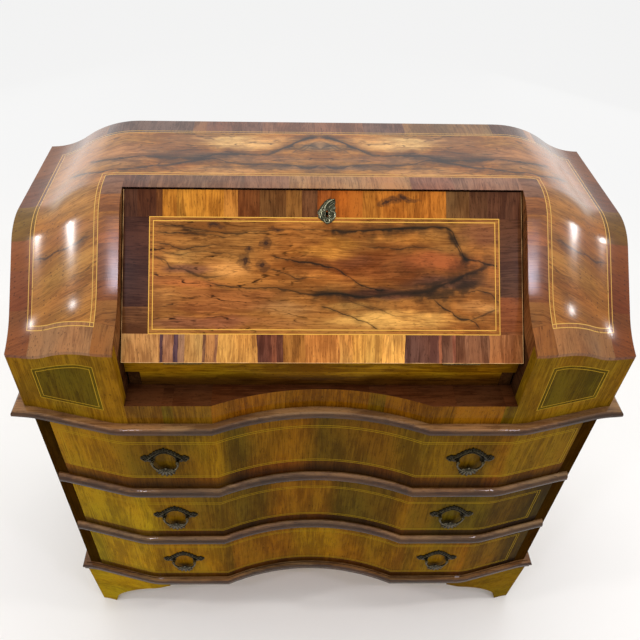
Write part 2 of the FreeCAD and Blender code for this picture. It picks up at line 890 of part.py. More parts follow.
def deskTop():
    """Top board between the shoulders, cut at the front by the swing of the fall, mortised for the bolt."""
    thick = size("deskTopThickness")

    def place(across, up):
        return Vector(across, backY, topZ + up)

    section = [(-wingInner, -thick), (wingInner, -thick), (wingInner, 0), (-wingInner, 0)]
    slab = sweepUnturned(closedWire(section, place), crownSpine(-wingInner), Vector(1, 0, 0))
    swing = inFallFrame((-halfCase, halfCase), (-deep, size("fallEndY")), (-deep, deep))
    lock = size("lockOffset")
    strike = inFallFrame((lock - size("strikeHalf"), lock + size("strikeHalf")),
                         (size("fallLength"), size("fallEndY") + size("strikeThickness")),
                         (strikeMiddle - size("strikeWidth") / 2, strikeMiddle + size("strikeWidth") / 2))
    return slab.cut(swing).cut(strike).cut(boltRoom(size("mortiseDepth")))


def boltRoom(depth):
    """Space that the bolt enters past the end of the fall."""
    lock = size("lockOffset")
    gap = size("boltGap")
    reach = size("boltWidth") / 2 + gap
    rise = size("boltThickness") / 2 + gap
    return inFallFrame((lock - reach, lock + reach), (size("fallLength"), size("fallEndY") + depth),
                       (strikeMiddle - rise, strikeMiddle + rise))


strikeMiddle = size("boltRise") + size("boltThickness") / 2
feature("desk_top", deskTop())
strike = inFallFrame((size("lockOffset") - size("strikeHalf"), size("lockOffset") + size("strikeHalf")),
                     (size("fallEndY"), size("fallEndY") + size("strikeThickness")),
                     (strikeMiddle - size("strikeWidth") / 2, strikeMiddle + size("strikeWidth") / 2))
feature("strike_plate", strike.cut(boltRoom(size("mortiseDepth"))))

# Back of the desk: its top edge follows the underside of the shoulders
backCentre = acrossBlock(wingInner, size("backInnerY"), backY, deskZ, size("nestTop"))
backSide = underWing.common(block((wingInner, halfCase - size("deskSideThickness")),
                                  (size("backInnerY"), backY), (deskZ, topZ)))
feature("desk_back", backCentre.fuse(backSide).fuse(mirrored(backSide)).removeSplitter())

# Step between the wing panels, and the floor board behind it
step = frontSlab(0, -deep, deskZ, size("stepZ"))
feature("step_block", step.common(acrossBlock(wingInner, frontLimit, frameY, deskZ, size("stepZ"))))
board("desk_floor", ("-wingInner", "frameY", "deskFloorZ"),
      ("wingInner * 2", "backInnerY - frameY", "deskFloorThickness"))
board("front_rail", ("slideGap - loperInner", "railY", "stepZ"),
      ("(loperInner - slideGap) * 2", "railThickness", "bedZ - stepZ"))
guides = []
for side, low in (("left", "slideGap - loperInner"), ("right", "loperInner - slideGap - guideWidth")):
    guides.append(bindBox("guide_" + side, (low, "railY + railThickness", "stepZ"),
                          ("guideWidth", "loperLength - railThickness", "bedZ - stepZ")))
group("loper_guides", guides)


# Pieces drawn as sketches: writing bed, fall, writing skin, lock and lopers

def newBody(label):
    """Make a body that is a sub-part under its own label."""
    return keep(doc.addObject("PartDesign::Body", label), label)


def attachedSketch(body, role, name, offset):
    """Add a sketch parallel to one of the body's own origin planes."""
    sketch = body.newObject("Sketcher::SketchObject", name + "_sketch")
    plane = [item for item in body.Origin.OriginFeatures if item.Role == role][0]
    sketch.AttachmentSupport = [(plane, "")]
    sketch.MapMode = "FlatFace"
    sketch.setExpression("AttachmentOffset.Base.z", withSheets(offset))
    return sketch


def boundPoint(sketch, geometry, vertex, formulas):
    """Tie a sketch point to two formulas, measured from the sketch's origin."""
    for kind, formula in zip(("DistanceX", "DistanceY"), formulas):
        index = sketch.addConstraint(Sketcher.Constraint(kind, -1, 1, geometry, vertex, 1.0))
        sketch.setExpression("Constraints[%d]" % index, withSheets(formula))


def drawOutline(sketch, corners):
    """Draw a closed outline of straight lines through corners given as formulas."""
    count = len(corners)
    turn = 2 * math.pi / count
    ring = [Vector(math.cos(turn * index), math.sin(turn * index), 0) for index in range(count)]
    for index in range(count):
        sketch.addGeometry(Part.LineSegment(ring[index], ring[(index + 1) % count]))
    for index in range(count):
        sketch.addConstraint(Sketcher.Constraint("Coincident", index, 2, (index + 1) % count, 1))
    for index, corner in enumerate(corners):
        boundPoint(sketch, index, 1, corner)


def drawCircle(sketch, centre, radius):
    """Draw a circle whose centre and radius are formulas."""
    sketch.addGeometry(Part.Circle(Vector(0, 0, 0), Vector(0, 0, 1), 1))
    boundPoint(sketch, 0, 3, centre)
    index = sketch.addConstraint(Sketcher.Constraint("Radius", 0, 1.0))
    sketch.setExpression("Constraints[%d]" % index, withSheets(radius))


def rectangle(left, right, low, high):
    """Corners of a rectangle in order."""
    return [(left, low), (right, low), (right, high), (left, high)]


def pad(body, role, name, corners, length, offset="0"):
    """Pad an outline along the normal of an origin plane."""
    sketch = attachedSketch(body, role, name, offset)
    drawOutline(sketch, corners)
    made = body.newObject("PartDesign::Pad", name)
    made.Profile = sketch
    made.setExpression("Length", withSheets(length))
    doc.recompute()


def cutAway(body, role, name, draw, length, offset="0"):
    """Pocket what draw puts on a sketch, along the normal of an origin plane."""
    before = body.Shape.Volume
    sketch = attachedSketch(body, role, name, offset)
    draw(sketch)
    made = body.newObject("PartDesign::Pocket", name)
    made.Profile = sketch
    made.setExpression("Length", withSheets(length))
    made.Reversed = True
    doc.recompute()
    if not body.Shape.Volume < before:
        raise RuntimeError(name + " cuts nothing")


def cutRectangle(body, name, corners, length, offset="0"):
    """Pocket a rectangle upwards from a level above the body's own floor plane."""
    cutAway(body, "XY_Plane", name, lambda sketch: drawOutline(sketch, corners), length, offset)


def cutBarrelRoom(body, name, centre, start):
    """Pocket a round room for a hinge barrel along X."""
    cutAway(body, "YZ_Plane", name, lambda sketch: drawCircle(sketch, centre, "barrelRadius + barrelGap"),
            "hingeLength + knuckleGap * 2", start + " - hingeLength / 2 - knuckleGap")


hingeCentres = (("left", "-hingeOffset"), ("right", "hingeOffset"))

# Writing bed, recessed for the hinges
bed = newBody("writing_bed")
pad(bed, "XY_Plane", "bed_board", rectangle("-wingInner", "wingInner", "bedFront", "backInnerY"),
    "bedThickness")
for side, centre in hingeCentres:
    cutRectangle(bed, "bed_leaf_recess_" + side,
                 rectangle(centre + " - hingeLength / 2", centre + " + hingeLength / 2",
                           "hingeY", "hingeY + leafWidth"),
                 "leafThickness", "bedThickness - leafThickness")
    cutBarrelRoom(bed, "bed_barrel_room_" + side, ("hingeY", "bedThickness"), centre)
bed.setExpression("Placement.Base.z", withSheets("bedZ"))

# Fall, recessed on its inner face for the writing skin, the lock and the hinges
fall = newBody("fall_front")
lockSpan = ("lockOffset - lockWidth / 2", "lockOffset + lockWidth / 2",
            "fallLength - lockHeight", "fallLength")
skinSpan = ("skinMargin - fallHalf", "fallHalf - skinMargin",
            "skinMargin", "fallLength - lockHeight - skinLockGap")
slotSpan = ("lockOffset - keySlotWidth / 2", "lockOffset + keySlotWidth / 2",
            "keyY - keySlotLength", "keyY")


def drawKeyHole(sketch):
    """Draw the round of the keyhole."""
    drawCircle(sketch, ("lockOffset", "keyY"), "keyholeRadius")


pad(fall, "XY_Plane", "fall_board", rectangle("-fallHalf", "fallHalf", "0", "fallLength"), "fallThickness")
cutRectangle(fall, "skin_recess", rectangle(*skinSpan), "skinThickness")
cutRectangle(fall, "lock_recess", rectangle(*lockSpan), "lockDepth")
cutAway(fall, "XY_Plane", "key_hole", drawKeyHole, "fallThickness - lockDepth", "lockDepth")
cutRectangle(fall, "key_slot", rectangle(*slotSpan), "fallThickness - lockDepth", "lockDepth")
for side, centre in hingeCentres:
    cutRectangle(fall, "fall_leaf_recess_" + side,
                 rectangle(centre + " - hingeLength / 2", centre + " + hingeLength / 2", "0", "leafWidth"),
                 "leafThickness")
    cutBarrelRoom(fall, "fall_barrel_room_" + side, ("0", "0"), centre)
fall.Placement = fallFrame

skin = newBody("writing_skin")
pad(skin, "XY_Plane", "skin_sheet", rectangle(*skinSpan), "skinThickness")
skin.Placement = fallFrame

# Lock in the fall: case with a channel for its bolt, bolt, and escutcheon outside
lockCase = newBody("lock_case")
boltEnd = "fallLength - boltSet - boltLength"
pad(lockCase, "XY_Plane", "lock_body", rectangle(*lockSpan), "lockDepth")
cutRectangle(lockCase, "bolt_channel",
             rectangle("lockOffset - boltWidth / 2 - boltGap", "lockOffset + boltWidth / 2 + boltGap",
                       boltEnd + " - boltGap", "fallLength + cutOverrun"),
             "boltThickness + boltGap * 2", "boltRise - boltGap")
cutAway(lockCase, "XY_Plane", "lock_key_hole", drawKeyHole, "lockDepth - boltRise", "boltRise")
cutRectangle(lockCase, "lock_key_slot", rectangle(*slotSpan), "lockDepth - boltRise", "boltRise")
lockCase.Placement = fallFrame

bolt = newBody("lock_bolt")
pad(bolt, "XY_Plane", "bolt_bar",
    rectangle("lockOffset - boltWidth / 2", "lockOffset + boltWidth / 2", boltEnd, "fallLength - boltSet"),
    "boltThickness", "boltRise")
bolt.Placement = fallFrame


def escutcheon():
    """Keyhole plate: a rounded cartouche drawn to a point at the top."""
    centreX = size("lockOffset")
    centreY = size("escutcheonY")
    wide = size("escutcheonHalfWidth")
    tall = size("escutcheonHalfHeight")
    rightShares = [(0.25, 0.88), (0.3, 0.72), (0.62, 0.5)]
    flankShares = ((0.98, -0.05), (0.8, -0.55))
    toeShares = ((0.5, -0.86), (0, -1))

    def scaled(share, side):
        return (side * wide * share[0], tall * share[1])

    steps = [(0, tall)] + [scaled(share, 1) for share in rightShares]
    steps += [
        (scaled(flankShares[0], 1), scaled(flankShares[1], 1)),
        (scaled(toeShares[0], 1), scaled(toeShares[1], 1)),
        (scaled(toeShares[0], -1), scaled(flankShares[1], -1)),
        (scaled(flankShares[0], -1), scaled(rightShares[-1], -1)),
    ]
    steps += [scaled(share, -1) for share in reversed(rightShares[:-1])]

    def place(across, up):
        return Vector(centreX + across, centreY + up, size("fallThickness"))

    plate = Part.Face(closedWire(steps, place)).extrude(Vector(0, 0, size("escutcheonThickness")))
    keyY = size("keyY")
    hole = Part.makeCylinder(size("keyholeRadius"), overrun, Vector(centreX, keyY, 0), Vector(0, 0, 1))
    slot = block((centreX - size("keySlotWidth") / 2, centreX + size("keySlotWidth") / 2),
                 (keyY - size("keySlotLength"), keyY), (0, overrun))
    return plate.cut(hole).cut(slot)


feature("escutcheon", escutcheon(), fallFrame)


# Hinges: one leaf let into the bed with the outer knuckles and the pin, one let into the fall

def hingeLeaf(centre, knuckles, lift):
    """Leaf beside the hinge axis with knuckles on spans of X; lift is 0 above the plane, -1 below."""
    radius = size("barrelRadius")
    start = radius + size("barrelGap")
    half = size("hingeLength") / 2
    thick = size("leafThickness")
    levels = (lift * thick, (lift + 1) * thick)
    leaf = block((centre - half, centre + half), (start, size("leafWidth")), levels)
    for low, high in knuckles:
        leaf = leaf.fuse(block((centre + low, centre + high), (0, start), levels))
        leaf = leaf.fuse(Part.makeCylinder(radius, high - low, Vector(centre + low, 0, 0), Vector(1, 0, 0)))
    return leaf


middleKnuckleShare = 1 / 3
hingeHalf = size("hingeLength") / 2
knuckleEnd = hingeHalf * middleKnuckleShare
knuckleGap = size("knuckleGap")
pinRadius = size("hingePinRadius")
bedLeaves = []
fallLeaves = []
for centre in (-size("hingeOffset"), size("hingeOffset")):
    pin = Part.makeCylinder(pinRadius, hingeHalf * 2, Vector(centre - hingeHalf, 0, 0), Vector(1, 0, 0))
    outer = [(-hingeHalf, -knuckleEnd - knuckleGap / 2), (knuckleEnd + knuckleGap / 2, hingeHalf)]
    bedLeaves.append(hingeLeaf(centre, outer, -1).fuse(pin).removeSplitter())
    bore = Part.makeCylinder(pinRadius + size("pivotGap"), hingeHalf * 2,
                             Vector(centre - hingeHalf, 0, 0), Vector(1, 0, 0))
    inner = [(knuckleGap / 2 - knuckleEnd, knuckleEnd - knuckleGap / 2)]
    fallLeaves.append(hingeLeaf(centre, inner, 0).cut(bore).removeSplitter())
feature("hinge_leaves_bed", Part.makeCompound(bedLeaves), Placement(fallFrame.Base, Rotation()))
feature("hinge_leaves_fall", Part.makeCompound(fallLeaves), fallFrame)

# Lopers that carry the open fall
for side, span in (("left", ("-loperOuter", "-loperInner")), ("right", ("loperInner", "loperOuter"))):
    loper = newBody("loper_" + side)
    pad(loper, "XY_Plane", "loper_bar_" + side, rectangle(*span, "railY", "railY + loperLength"),
        "loperHeight")
    front = [index + 1 for index, edge in enumerate(loper.Shape.Edges)
             if edge.BoundBox.YMax < size("railY") + size("loperChamfer")]
    bar = loper.Tip
    chamfer = loper.newObject("PartDesign::Chamfer", "loper_chamfer_" + side)
    chamfer.Base = (bar, ["Edge%d" % index for index in front])
    chamfer.setExpression("Size", withSheets("loperChamfer"))
    doc.recompute()
    loper.setExpression("Placement.Base.z", withSheets("stepZ + slideGap"))

# Nest: sides, shelf, uprights below for the small drawers and above for the pigeonholes
nestBoards = []
for name, low, tall in (("side_left", "-nestHalf", "nestTop - nestZ"),
                        ("side_right", "nestHalf - nestBoard", "nestTop - nestZ"),
                        ("divider_left", "-nestDividerOffset - nestBoard / 2", "nestRow"),
                        ("divider_right", "nestDividerOffset - nestBoard / 2", "nestRow")):
    nestBoards.append(bindBox("nest_" + name, (low, "nestY", "nestZ"), ("nestBoard", "nestDepth", tall)))
nestBoards.append(bindBox("nest_shelf", ("nestBoard - nestHalf", "nestY", "shelfZ"),
                          ("(nestHalf - nestBoard) * 2", "nestDepth", "nestBoard")))
group("nest_case", nestBoards)

uprights = []
for index in range(1, int(size("pigeonholes"))):
    low = "-nestHalf + (nestHalf - nestBoard / 2) * 2 * %d / pigeonholes" % index
    blank = bindBox("upright_blank_%d" % index, (low, "nestY", "shelfZ + nestBoard"),
                    ("nestBoard", "nestDepth", "nestTop - shelfZ - nestBoard"))
    scoop = doc.addObject("Part::Cylinder", "upright_scoop_%d" % index)
    scoop.setExpression("Radius", withSheets("uprightScoop"))
    scoop.setExpression("Height", withSheets("nestBoard"))
    scoop.Placement.Rotation = Rotation(Vector(0, 1, 0), 90)
    scoop.setExpression("Placement.Base.x", withSheets(low))
    scoop.setExpression("Placement.Base.y", withSheets("nestY"))
    scoop.setExpression("Placement.Base.z", withSheets("(shelfZ + nestBoard + nestTop) / 2"))
    upright = doc.addObject("Part::Cut", "upright_%d" % index)
    upright.Base = blank
    upright.Tool = scoop
    uprights.append(upright)
group("nest_uprights", uprights)


# Small drawers between the lower uprights, each with a turned knob

def knob(name, middle):
    """Turned knob on the middle of a small drawer front."""
    length = size("knobLength")
    neck = size("knobNeck")
    radius = size("knobRadius")
    neckShare = 0.4
    bulgeShare = 0.65

    def place(out, across):
        return Vector(0, -out, across)

    steps = [(0, 0), (0, neck), (length * neckShare, neck),
             ((length * bulgeShare, radius), (length, neck)), (length, 0)]
    turned = Part.Face(closedWire(steps, place)).revolve(Vector(0, 0, 0), Vector(0, 1, 0), 360)
    obj = doc.addObject("Part::Feature", "knob_" + name)
    obj.Shape = turned
    obj.setExpression("Placement.Base.x", withSheets(middle))
    obj.setExpression("Placement.Base.y", withSheets("nestY"))
    obj.setExpression("Placement.Base.z", withSheets("nestZ + nestRow / 2"))
    return obj


innerEdge = "nestDividerOffset - nestBoard / 2"
outerEdge = "nestDividerOffset + nestBoard / 2"
lastEdge = "nestHalf - nestBoard"
for name, low, high in (("left", "-(%s)" % lastEdge, "-(%s)" % outerEdge),
                        ("centre", "-(%s)" % innerEdge, innerEdge),
                        ("right", outerEdge, lastEdge)):
    left = low + " + smallGap"
    wide = "%s - (%s) - smallGap * 2" % (high, low)
    wallY = "nestY + smallFront"
    floorZ = "nestZ + slideGap"
    wallHeight = "nestRow - smallWallDrop"
    wallRun = "smallDepth - smallFront"
    rearY = "nestY + smallDepth - smallWall"
    group("small_drawer_" + name, [
        bindBox("small_front_" + name, (left, "nestY", "nestZ + smallGap"),
                (wide, "smallFront", "nestRow - smallGap * 2")),
        bindBox("small_side_left_" + name, (left, wallY, floorZ), ("smallWall", wallRun, wallHeight)),
        bindBox("small_side_right_" + name, (high + " - smallGap - smallWall", wallY, floorZ),
                ("smallWall", wallRun, wallHeight)),
        bindBox("small_back_" + name, (left + " + smallWall", rearY, floorZ),
                (wide + " - smallWall * 2", "smallWall", wallHeight)),
        bindBox("small_bottom_" + name, (left + " + smallWall", wallY, floorZ),
                (wide + " - smallWall * 2", "smallDepth - smallFront - smallWall", "smallWall")),
        knob(name, "((%s) + (%s)) / 2" % (low, high)),
    ])

doc.recompute()
for obj in doc.Objects:
    if "Invalid" in obj.State or "Error" in obj.State:
        raise RuntimeError(obj.Label + " failed to build")
for obj in subParts:
    if obj.Shape.isNull() or not obj.Shape.isValid() or not obj.Shape.Solids:
        raise RuntimeError(obj.Label + " has no valid shape")
for obj in subParts:
    obj.Shape.exportStep("parts/" + obj.Label + ".step")
    print("%-22s %d solids %10.1f cm3" % (obj.Label, len(obj.Shape.Solids), obj.Shape.Volume / 1000))
print(len(subParts), "sub-parts")
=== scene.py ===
from math import atan2, cos, pi, radians, sin

import bmesh
import bpy
from mathutils import Matrix, Vector


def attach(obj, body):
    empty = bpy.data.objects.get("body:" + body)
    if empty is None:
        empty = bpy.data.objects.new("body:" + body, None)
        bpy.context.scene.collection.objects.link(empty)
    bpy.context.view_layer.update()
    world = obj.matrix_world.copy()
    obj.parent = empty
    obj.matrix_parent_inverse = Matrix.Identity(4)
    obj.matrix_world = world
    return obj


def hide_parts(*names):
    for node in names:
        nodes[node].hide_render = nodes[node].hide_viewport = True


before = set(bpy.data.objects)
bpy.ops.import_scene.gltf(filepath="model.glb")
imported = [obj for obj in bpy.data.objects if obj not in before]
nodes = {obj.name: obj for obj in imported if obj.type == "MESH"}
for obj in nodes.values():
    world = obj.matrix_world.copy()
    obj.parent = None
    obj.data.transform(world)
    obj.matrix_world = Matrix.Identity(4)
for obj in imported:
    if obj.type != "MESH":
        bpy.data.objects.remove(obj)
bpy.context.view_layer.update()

# Small fall-front bureau in figured walnut: a finish for every board, veneer and casting,
# and the brass pulls, their bails and the escutcheon in full relief.
scene = bpy.context.scene
scene.view_settings.view_transform = "Standard"
mm = 0.001


def srgb(code):
    # sRGB hex to the linear values that shaders take
    parts = [int(code[i:i + 2], 16) / 255 for i in (1, 3, 5)]
    return [p / 12.92 if p <= 0.04045 else ((p + 0.055) / 1.055) ** 2.4 for p in parts] + [1.0]


modes = {"Math": "operation", "VectorMath": "operation", "Mix": "data_type", "MapRange": "interpolation_type"}


def addNode(tree, kind, links=None, **settings):
    # one node, its settings, and the values or nodes that feed its sockets; a second word in its kind
    # is its mode, and a text for a socket is a hex colour
    kind, *mode = kind.split()
    if mode:
        settings[modes[kind]] = mode[0]
    node = tree.nodes.new(kind if kind.startswith("Node") else "ShaderNode" + kind)
    for name, value in settings.items():
        setattr(node, name, value)
    for place, value in (links or {}).items():
        if isinstance(value, bpy.types.Node):
            value = next(socket for socket in value.outputs if socket.enabled)
        if isinstance(value, bpy.types.NodeSocket):
            tree.links.new(value, node.inputs[place])
        else:
            node.inputs[place].default_value = srgb(value) if isinstance(value, str) else value
    return node


print("camera, lamps and floor")
cameraPlace = {
    "stand": (-0.07087, -0.89709, 1.57806),
    "yaw": 1.7444,      # degrees to the right
    "pitch": 42.3517,   # degrees down
    "roll": 1.4093,
    "lens": 36.5635,
    "shift": (0.04148, -0.00313),
}
camera = bpy.data.objects.new("camera", bpy.data.cameras.new("camera"))
scene.collection.objects.link(camera)
turn = (Matrix.Rotation(-radians(cameraPlace["yaw"]), 4, "Z")
        @ Matrix.Rotation(pi / 2 - radians(cameraPlace["pitch"]), 4, "X")
        @ Matrix.Rotation(radians(cameraPlace["roll"]), 4, "Z"))
camera.matrix_world = Matrix.Translation(cameraPlace["stand"]) @ turn
camera.data.sensor_width = 36
camera.data.lens = cameraPlace["lens"]
camera.data.shift_x, camera.data.shift_y = cameraPlace["shift"]
camera.data.clip_start = 0.01
scene.camera = camera

# aim, direction to the lamp, distance, width and height in metres, watts, colour, and if it shows in
# the polish
lamps = {
    "left_box": ((-0.42, -0.08, 0.95), (-0.76, -0.26, 0.59), 2.0, 0.2, 0.05, 10, "#fffaf8", True),
    "right_box": ((0.42, -0.08, 0.95), (0.84, -0.16, 0.52), 2.0, 0.2, 0.05, 10, "#fffaf8", True),
    "ceiling_left": ((-0.336, -0.1, 0.93), (-0.25, -0.585, 0.771), 2.0, 0.2, 0.12, 5, "#f2ecff", True),
    "ceiling_right": ((0.336, -0.1, 0.93), (0.368, -0.561, 0.740), 2.0, 0.2, 0.12, 5, "#f2ecff", True),
    "wall_left": ((-0.41, 0.05, 1.0), (-0.578, 0.816, 0.0), 3.0, 2.4, 1.6, 9, "#ffffff", True),
    "wall_right": ((0.41, 0.05, 1.0), (0.613, 0.783, -0.05), 3.0, 2.4, 1.6, 9, "#ffffff", True),
    "overhead": ((0.0, 0.0, 0.9), (0.05, 0.25, 1.0), 2.2, 2.4, 2.4, 36, "#ffffff", False),
    "front_fill": ((0.0, -0.2, 0.5), (0.0, -1.0, 0.45), 3.0, 2.0, 2.0, 12, "#fff8ea", False),
}
for name, (aim, way, reach, width, height, watts, tint, shows) in lamps.items():
    lamp = bpy.data.objects.new(name, bpy.data.lights.new(name, "AREA"))
    scene.collection.objects.link(lamp)
    lamp.data.shape = "RECTANGLE"
    lamp.data.size, lamp.data.size_y = width, height
    lamp.data.energy = watts
    lamp.data.color = srgb(tint)[:3]
    lamp.visible_glossy = shows
    lamp.visible_camera = False
    lamp.location = Vector(aim) + Vector(way).normalized() * reach
    lamp.rotation_euler = Vector(way).to_track_quat("Z", "Y").to_euler()

world = bpy.data.worlds.new("studio")
scene.world = world
world.use_nodes = True
tree = world.node_tree
tree.nodes.clear()
rays = addNode(tree, "LightPath")
soft = addNode(tree, "Background", {"Color": "#f4f4f2", "Strength": 0.72})
white = addNode(tree, "Background", {"Color": "#f6f6f6", "Strength": 1.0})
seen = addNode(tree, "Math MAXIMUM", {0: rays.outputs["Is Camera Ray"], 1: rays.outputs["Is Glossy Ray"]})
seen = addNode(tree, "Math MAXIMUM", {0: seen, 1: rays.outputs["Is Transmission Ray"]})
both = addNode(tree, "MixShader", {0: seen, 1: soft, 2: white})
addNode(tree, "OutputWorld", {0: both})


def newMaterial(name):
    material = bpy.data.materials.new(name)
    material.use_nodes = True
    material.node_tree.nodes.clear()
    return material, material.node_tree


def newGroup(name, inputs, outputs):
    group = bpy.data.node_groups.new(name, "ShaderNodeTree")
    for side, sockets in (("INPUT", inputs), ("OUTPUT", outputs)):
        for socket, kind in sockets.items():
            group.interface.new_socket(socket, in_out=side, socket_type="NodeSocket" + kind)
    return group, addNode(group, "NodeGroupInput").outputs


def dress(material, *names):
    for name in names:
        for slot in nodes[name].material_slots:
            slot.material = material


# Pale epoxy floor, rolled: a faint mottle and a soft sheen
floorSettings = {"half": 9.0, "colour": "#f3f2f0", "mottle": "#edecea", "mottleSize": 400,
                 "fadeFrom": 0.8, "fadeTo": 2.6, "fade": 0.9}
material, tree = newMaterial("floor_paint_rolled")
spot = addNode(tree, "TexCoord")
mottle = addNode(tree, "TexNoise", {"Vector": spot.outputs["Object"],
                                    "Scale": 1000 / floorSettings["mottleSize"], "Detail": 3.0})
paint = addNode(tree, "Mix RGBA", {0: mottle, 6: floorSettings["colour"], 7: floorSettings["mottle"]})
sheen = addNode(tree, "BsdfPrincipled", {"Base Color": paint, "Roughness": 0.6})
away = addNode(tree, "VectorMath LENGTH", {0: spot.outputs["Object"]})
away = addNode(tree, "MapRange SMOOTHSTEP", {0: away, 1: floorSettings["fadeFrom"],
                                             2: floorSettings["fadeTo"], 3: 0.0,
                                             4: floorSettings["fade"]})
away = addNode(tree, "Math MULTIPLY", {0: away, 1: addNode(tree, "LightPath")})
backdrop = addNode(tree, "Emission", {"Color": "#f6f6f6", "Strength": 1.0})
addNode(tree, "OutputMaterial", {0: addNode(tree, "MixShader", {0: away, 1: sheen, 2: backdrop})})
shape = bmesh.new()
bmesh.ops.create_grid(shape, x_segments=1, y_segments=1, size=floorSettings["half"])
mesh = bpy.data.meshes.new("floor")
shape.to_mesh(mesh)
shape.free()
mesh.materials.append(material)
floor = bpy.data.objects.new("floor", mesh)
scene.collection.objects.link(floor)


print("veneer")
# Figured walnut: broad clouds, growth streaks, fine lines, open pores and dark ink lines.
# Each figure is its width across the grain in millimetres and how far it is drawn out along it.
veneerFigure = {
    "warp": (70, 2.2),
    "cloud": (50, 3.2),
    "streak": (6, 10.0),
    "line": (2.1, 22.0),    # real lines are finer: drawn as coarse as they need to show
    "ink": (30, 4.5),
    "thread": (10, 6.0),
    "pore": (1.5, 5.0),
    "blotch": (13, 1.8),
}


def figureNoise(tree, grain, figure, detail):
    width, drawn = veneerFigure[figure]
    stretched = addNode(tree, "VectorMath MULTIPLY", {0: grain, 1: (1 / drawn, 1, 1)})
    return addNode(tree, "TexNoise", {"Vector": stretched, "Scale": 1000 / width, "Detail": detail})


def contourLine(tree, noise, near, far):
    # a thin line wherever the noise crosses its middle value
    off = addNode(tree, "Math SUBTRACT", {0: noise, 1: 0.5})
    off = addNode(tree, "Math ABSOLUTE", {0: off})
    return addNode(tree, "MapRange SMOOTHSTEP", {0: off, 1: far, 2: near, 3: 0.0, 4: 1.0})


def walnutVeneer():
    tree, given = newGroup("figured_walnut",
                           {"Grain": "Vector", "Base": "Color", "Leaf": "Float", "Wave": "Float",
                            "Figure": "Float", "Ink": "Float"},
                           {"Color": "Color", "Height": "Float", "Roughness": "Float"})
    slip = addNode(tree, "CombineXYZ", {0: given["Leaf"], 1: given["Leaf"], 2: given["Leaf"]})
    grain = addNode(tree, "VectorMath ADD", {0: given["Grain"], 1: slip})
    warp = figureNoise(tree, grain, "warp", 2.0)
    drift = addNode(tree, "VectorMath SUBTRACT", {0: warp.outputs["Color"], 1: (0.5, 0.5, 0.5)})
    drift = addNode(tree, "VectorMath SCALE", {0: drift, "Scale": given["Wave"]})
    grain = addNode(tree, "VectorMath ADD", {0: grain, 1: drift})
    cloud = figureNoise(tree, grain, "cloud", 2.0)
    streak = figureNoise(tree, grain, "streak", 3.0)
    line = figureNoise(tree, grain, "line", 2.0)
    pore = figureNoise(tree, grain, "pore", 1.0)
    tone = addNode(tree, "Math MULTIPLY_ADD", {0: streak, 1: 0.7, 2: cloud})
    tone = addNode(tree, "Math MULTIPLY_ADD", {0: line, 1: 0.75, 2: tone})
    tone = addNode(tree, "Math MULTIPLY_ADD", {0: figureNoise(tree, grain, "blotch", 4.0), 1: 0.5, 2: tone})
    tone = addNode(tree, "MapRange SMOOTHSTEP", {0: tone, 1: 1.24, 2: 1.72})
    deep = addNode(tree, "VectorMath MULTIPLY", {0: given["Base"], 1: (0.54, 0.45, 0.38)})
    pale = addNode(tree, "VectorMath MULTIPLY", {0: given["Base"], 1: (1.30, 1.28, 1.15)})
    black = addNode(tree, "VectorMath MULTIPLY", {0: given["Base"], 1: (0.14, 0.12, 0.13)})
    wood = addNode(tree, "Mix RGBA", {0: tone, 6: deep, 7: pale})
    wood = addNode(tree, "Mix RGBA", {0: given["Figure"], 6: given["Base"], 7: wood})
    warmth = addNode(tree, "MapRange", {0: warp, 1: 0.35, 2: 0.65})
    warm = addNode(tree, "Mix RGBA", {0: warmth, 6: (1.08, 0.95, 0.84, 1), 7: (0.96, 1.02, 1.06, 1)})
    wood = addNode(tree, "VectorMath MULTIPLY", {0: wood, 1: warm})
    broken = addNode(tree, "MapRange SMOOTHSTEP", {0: streak, 1: 0.40, 2: 0.60})
    vein = contourLine(tree, figureNoise(tree, grain, "ink", 4.0), 0.002, 0.022)
    thread = contourLine(tree, figureNoise(tree, grain, "thread", 3.0), 0.002, 0.030)
    thread = addNode(tree, "Math MULTIPLY", {0: thread, 1: 0.5})
    vein = addNode(tree, "Math MAXIMUM", {0: vein, 1: thread})
    vein = addNode(tree, "Math MULTIPLY", {0: vein, 1: broken})
    vein = addNode(tree, "Math MULTIPLY", {0: vein, 1: given["Ink"]})
    wood = addNode(tree, "Mix RGBA", {0: vein, 6: wood, 7: black})
    opened = addNode(tree, "MapRange", {0: pore, 1: 0.62, 2: 0.72})
    shade = addNode(tree, "Math MULTIPLY_ADD", {0: opened, 1: -0.45, 2: 1.0})
    wood = addNode(tree, "VectorMath SCALE", {0: wood, "Scale": shade})
    height = addNode(tree, "Math MULTIPLY_ADD", {0: opened, 1: -0.6, 2: line})
    rough = addNode(tree, "MapRange", {0: cloud, 1: 0.3, 2: 0.7, 3: 0.32, 4: 0.44})
    addNode(tree, "NodeGroupOutput", {"Color": wood, "Height": height, "Roughness": rough})
    return tree


def doubleLine():
    # two boxwood lines, at the frame's edge and one spacing outside it
    tree, given = newGroup("double_stringing", {"Distance": "Float", "Spacing": "Float", "Half": "Float"},
                           {"Mask": "Float"})
    first = addNode(tree, "Math COMPARE", {0: given["Distance"], 1: 0.0, 2: given["Half"]})
    second = addNode(tree, "Math COMPARE", {0: given["Distance"], 1: given["Spacing"], 2: given["Half"]})
    mask = addNode(tree, "Math MAXIMUM", {0: first, 1: second})
    addNode(tree, "NodeGroupOutput", {"Mask": mask})
    return tree


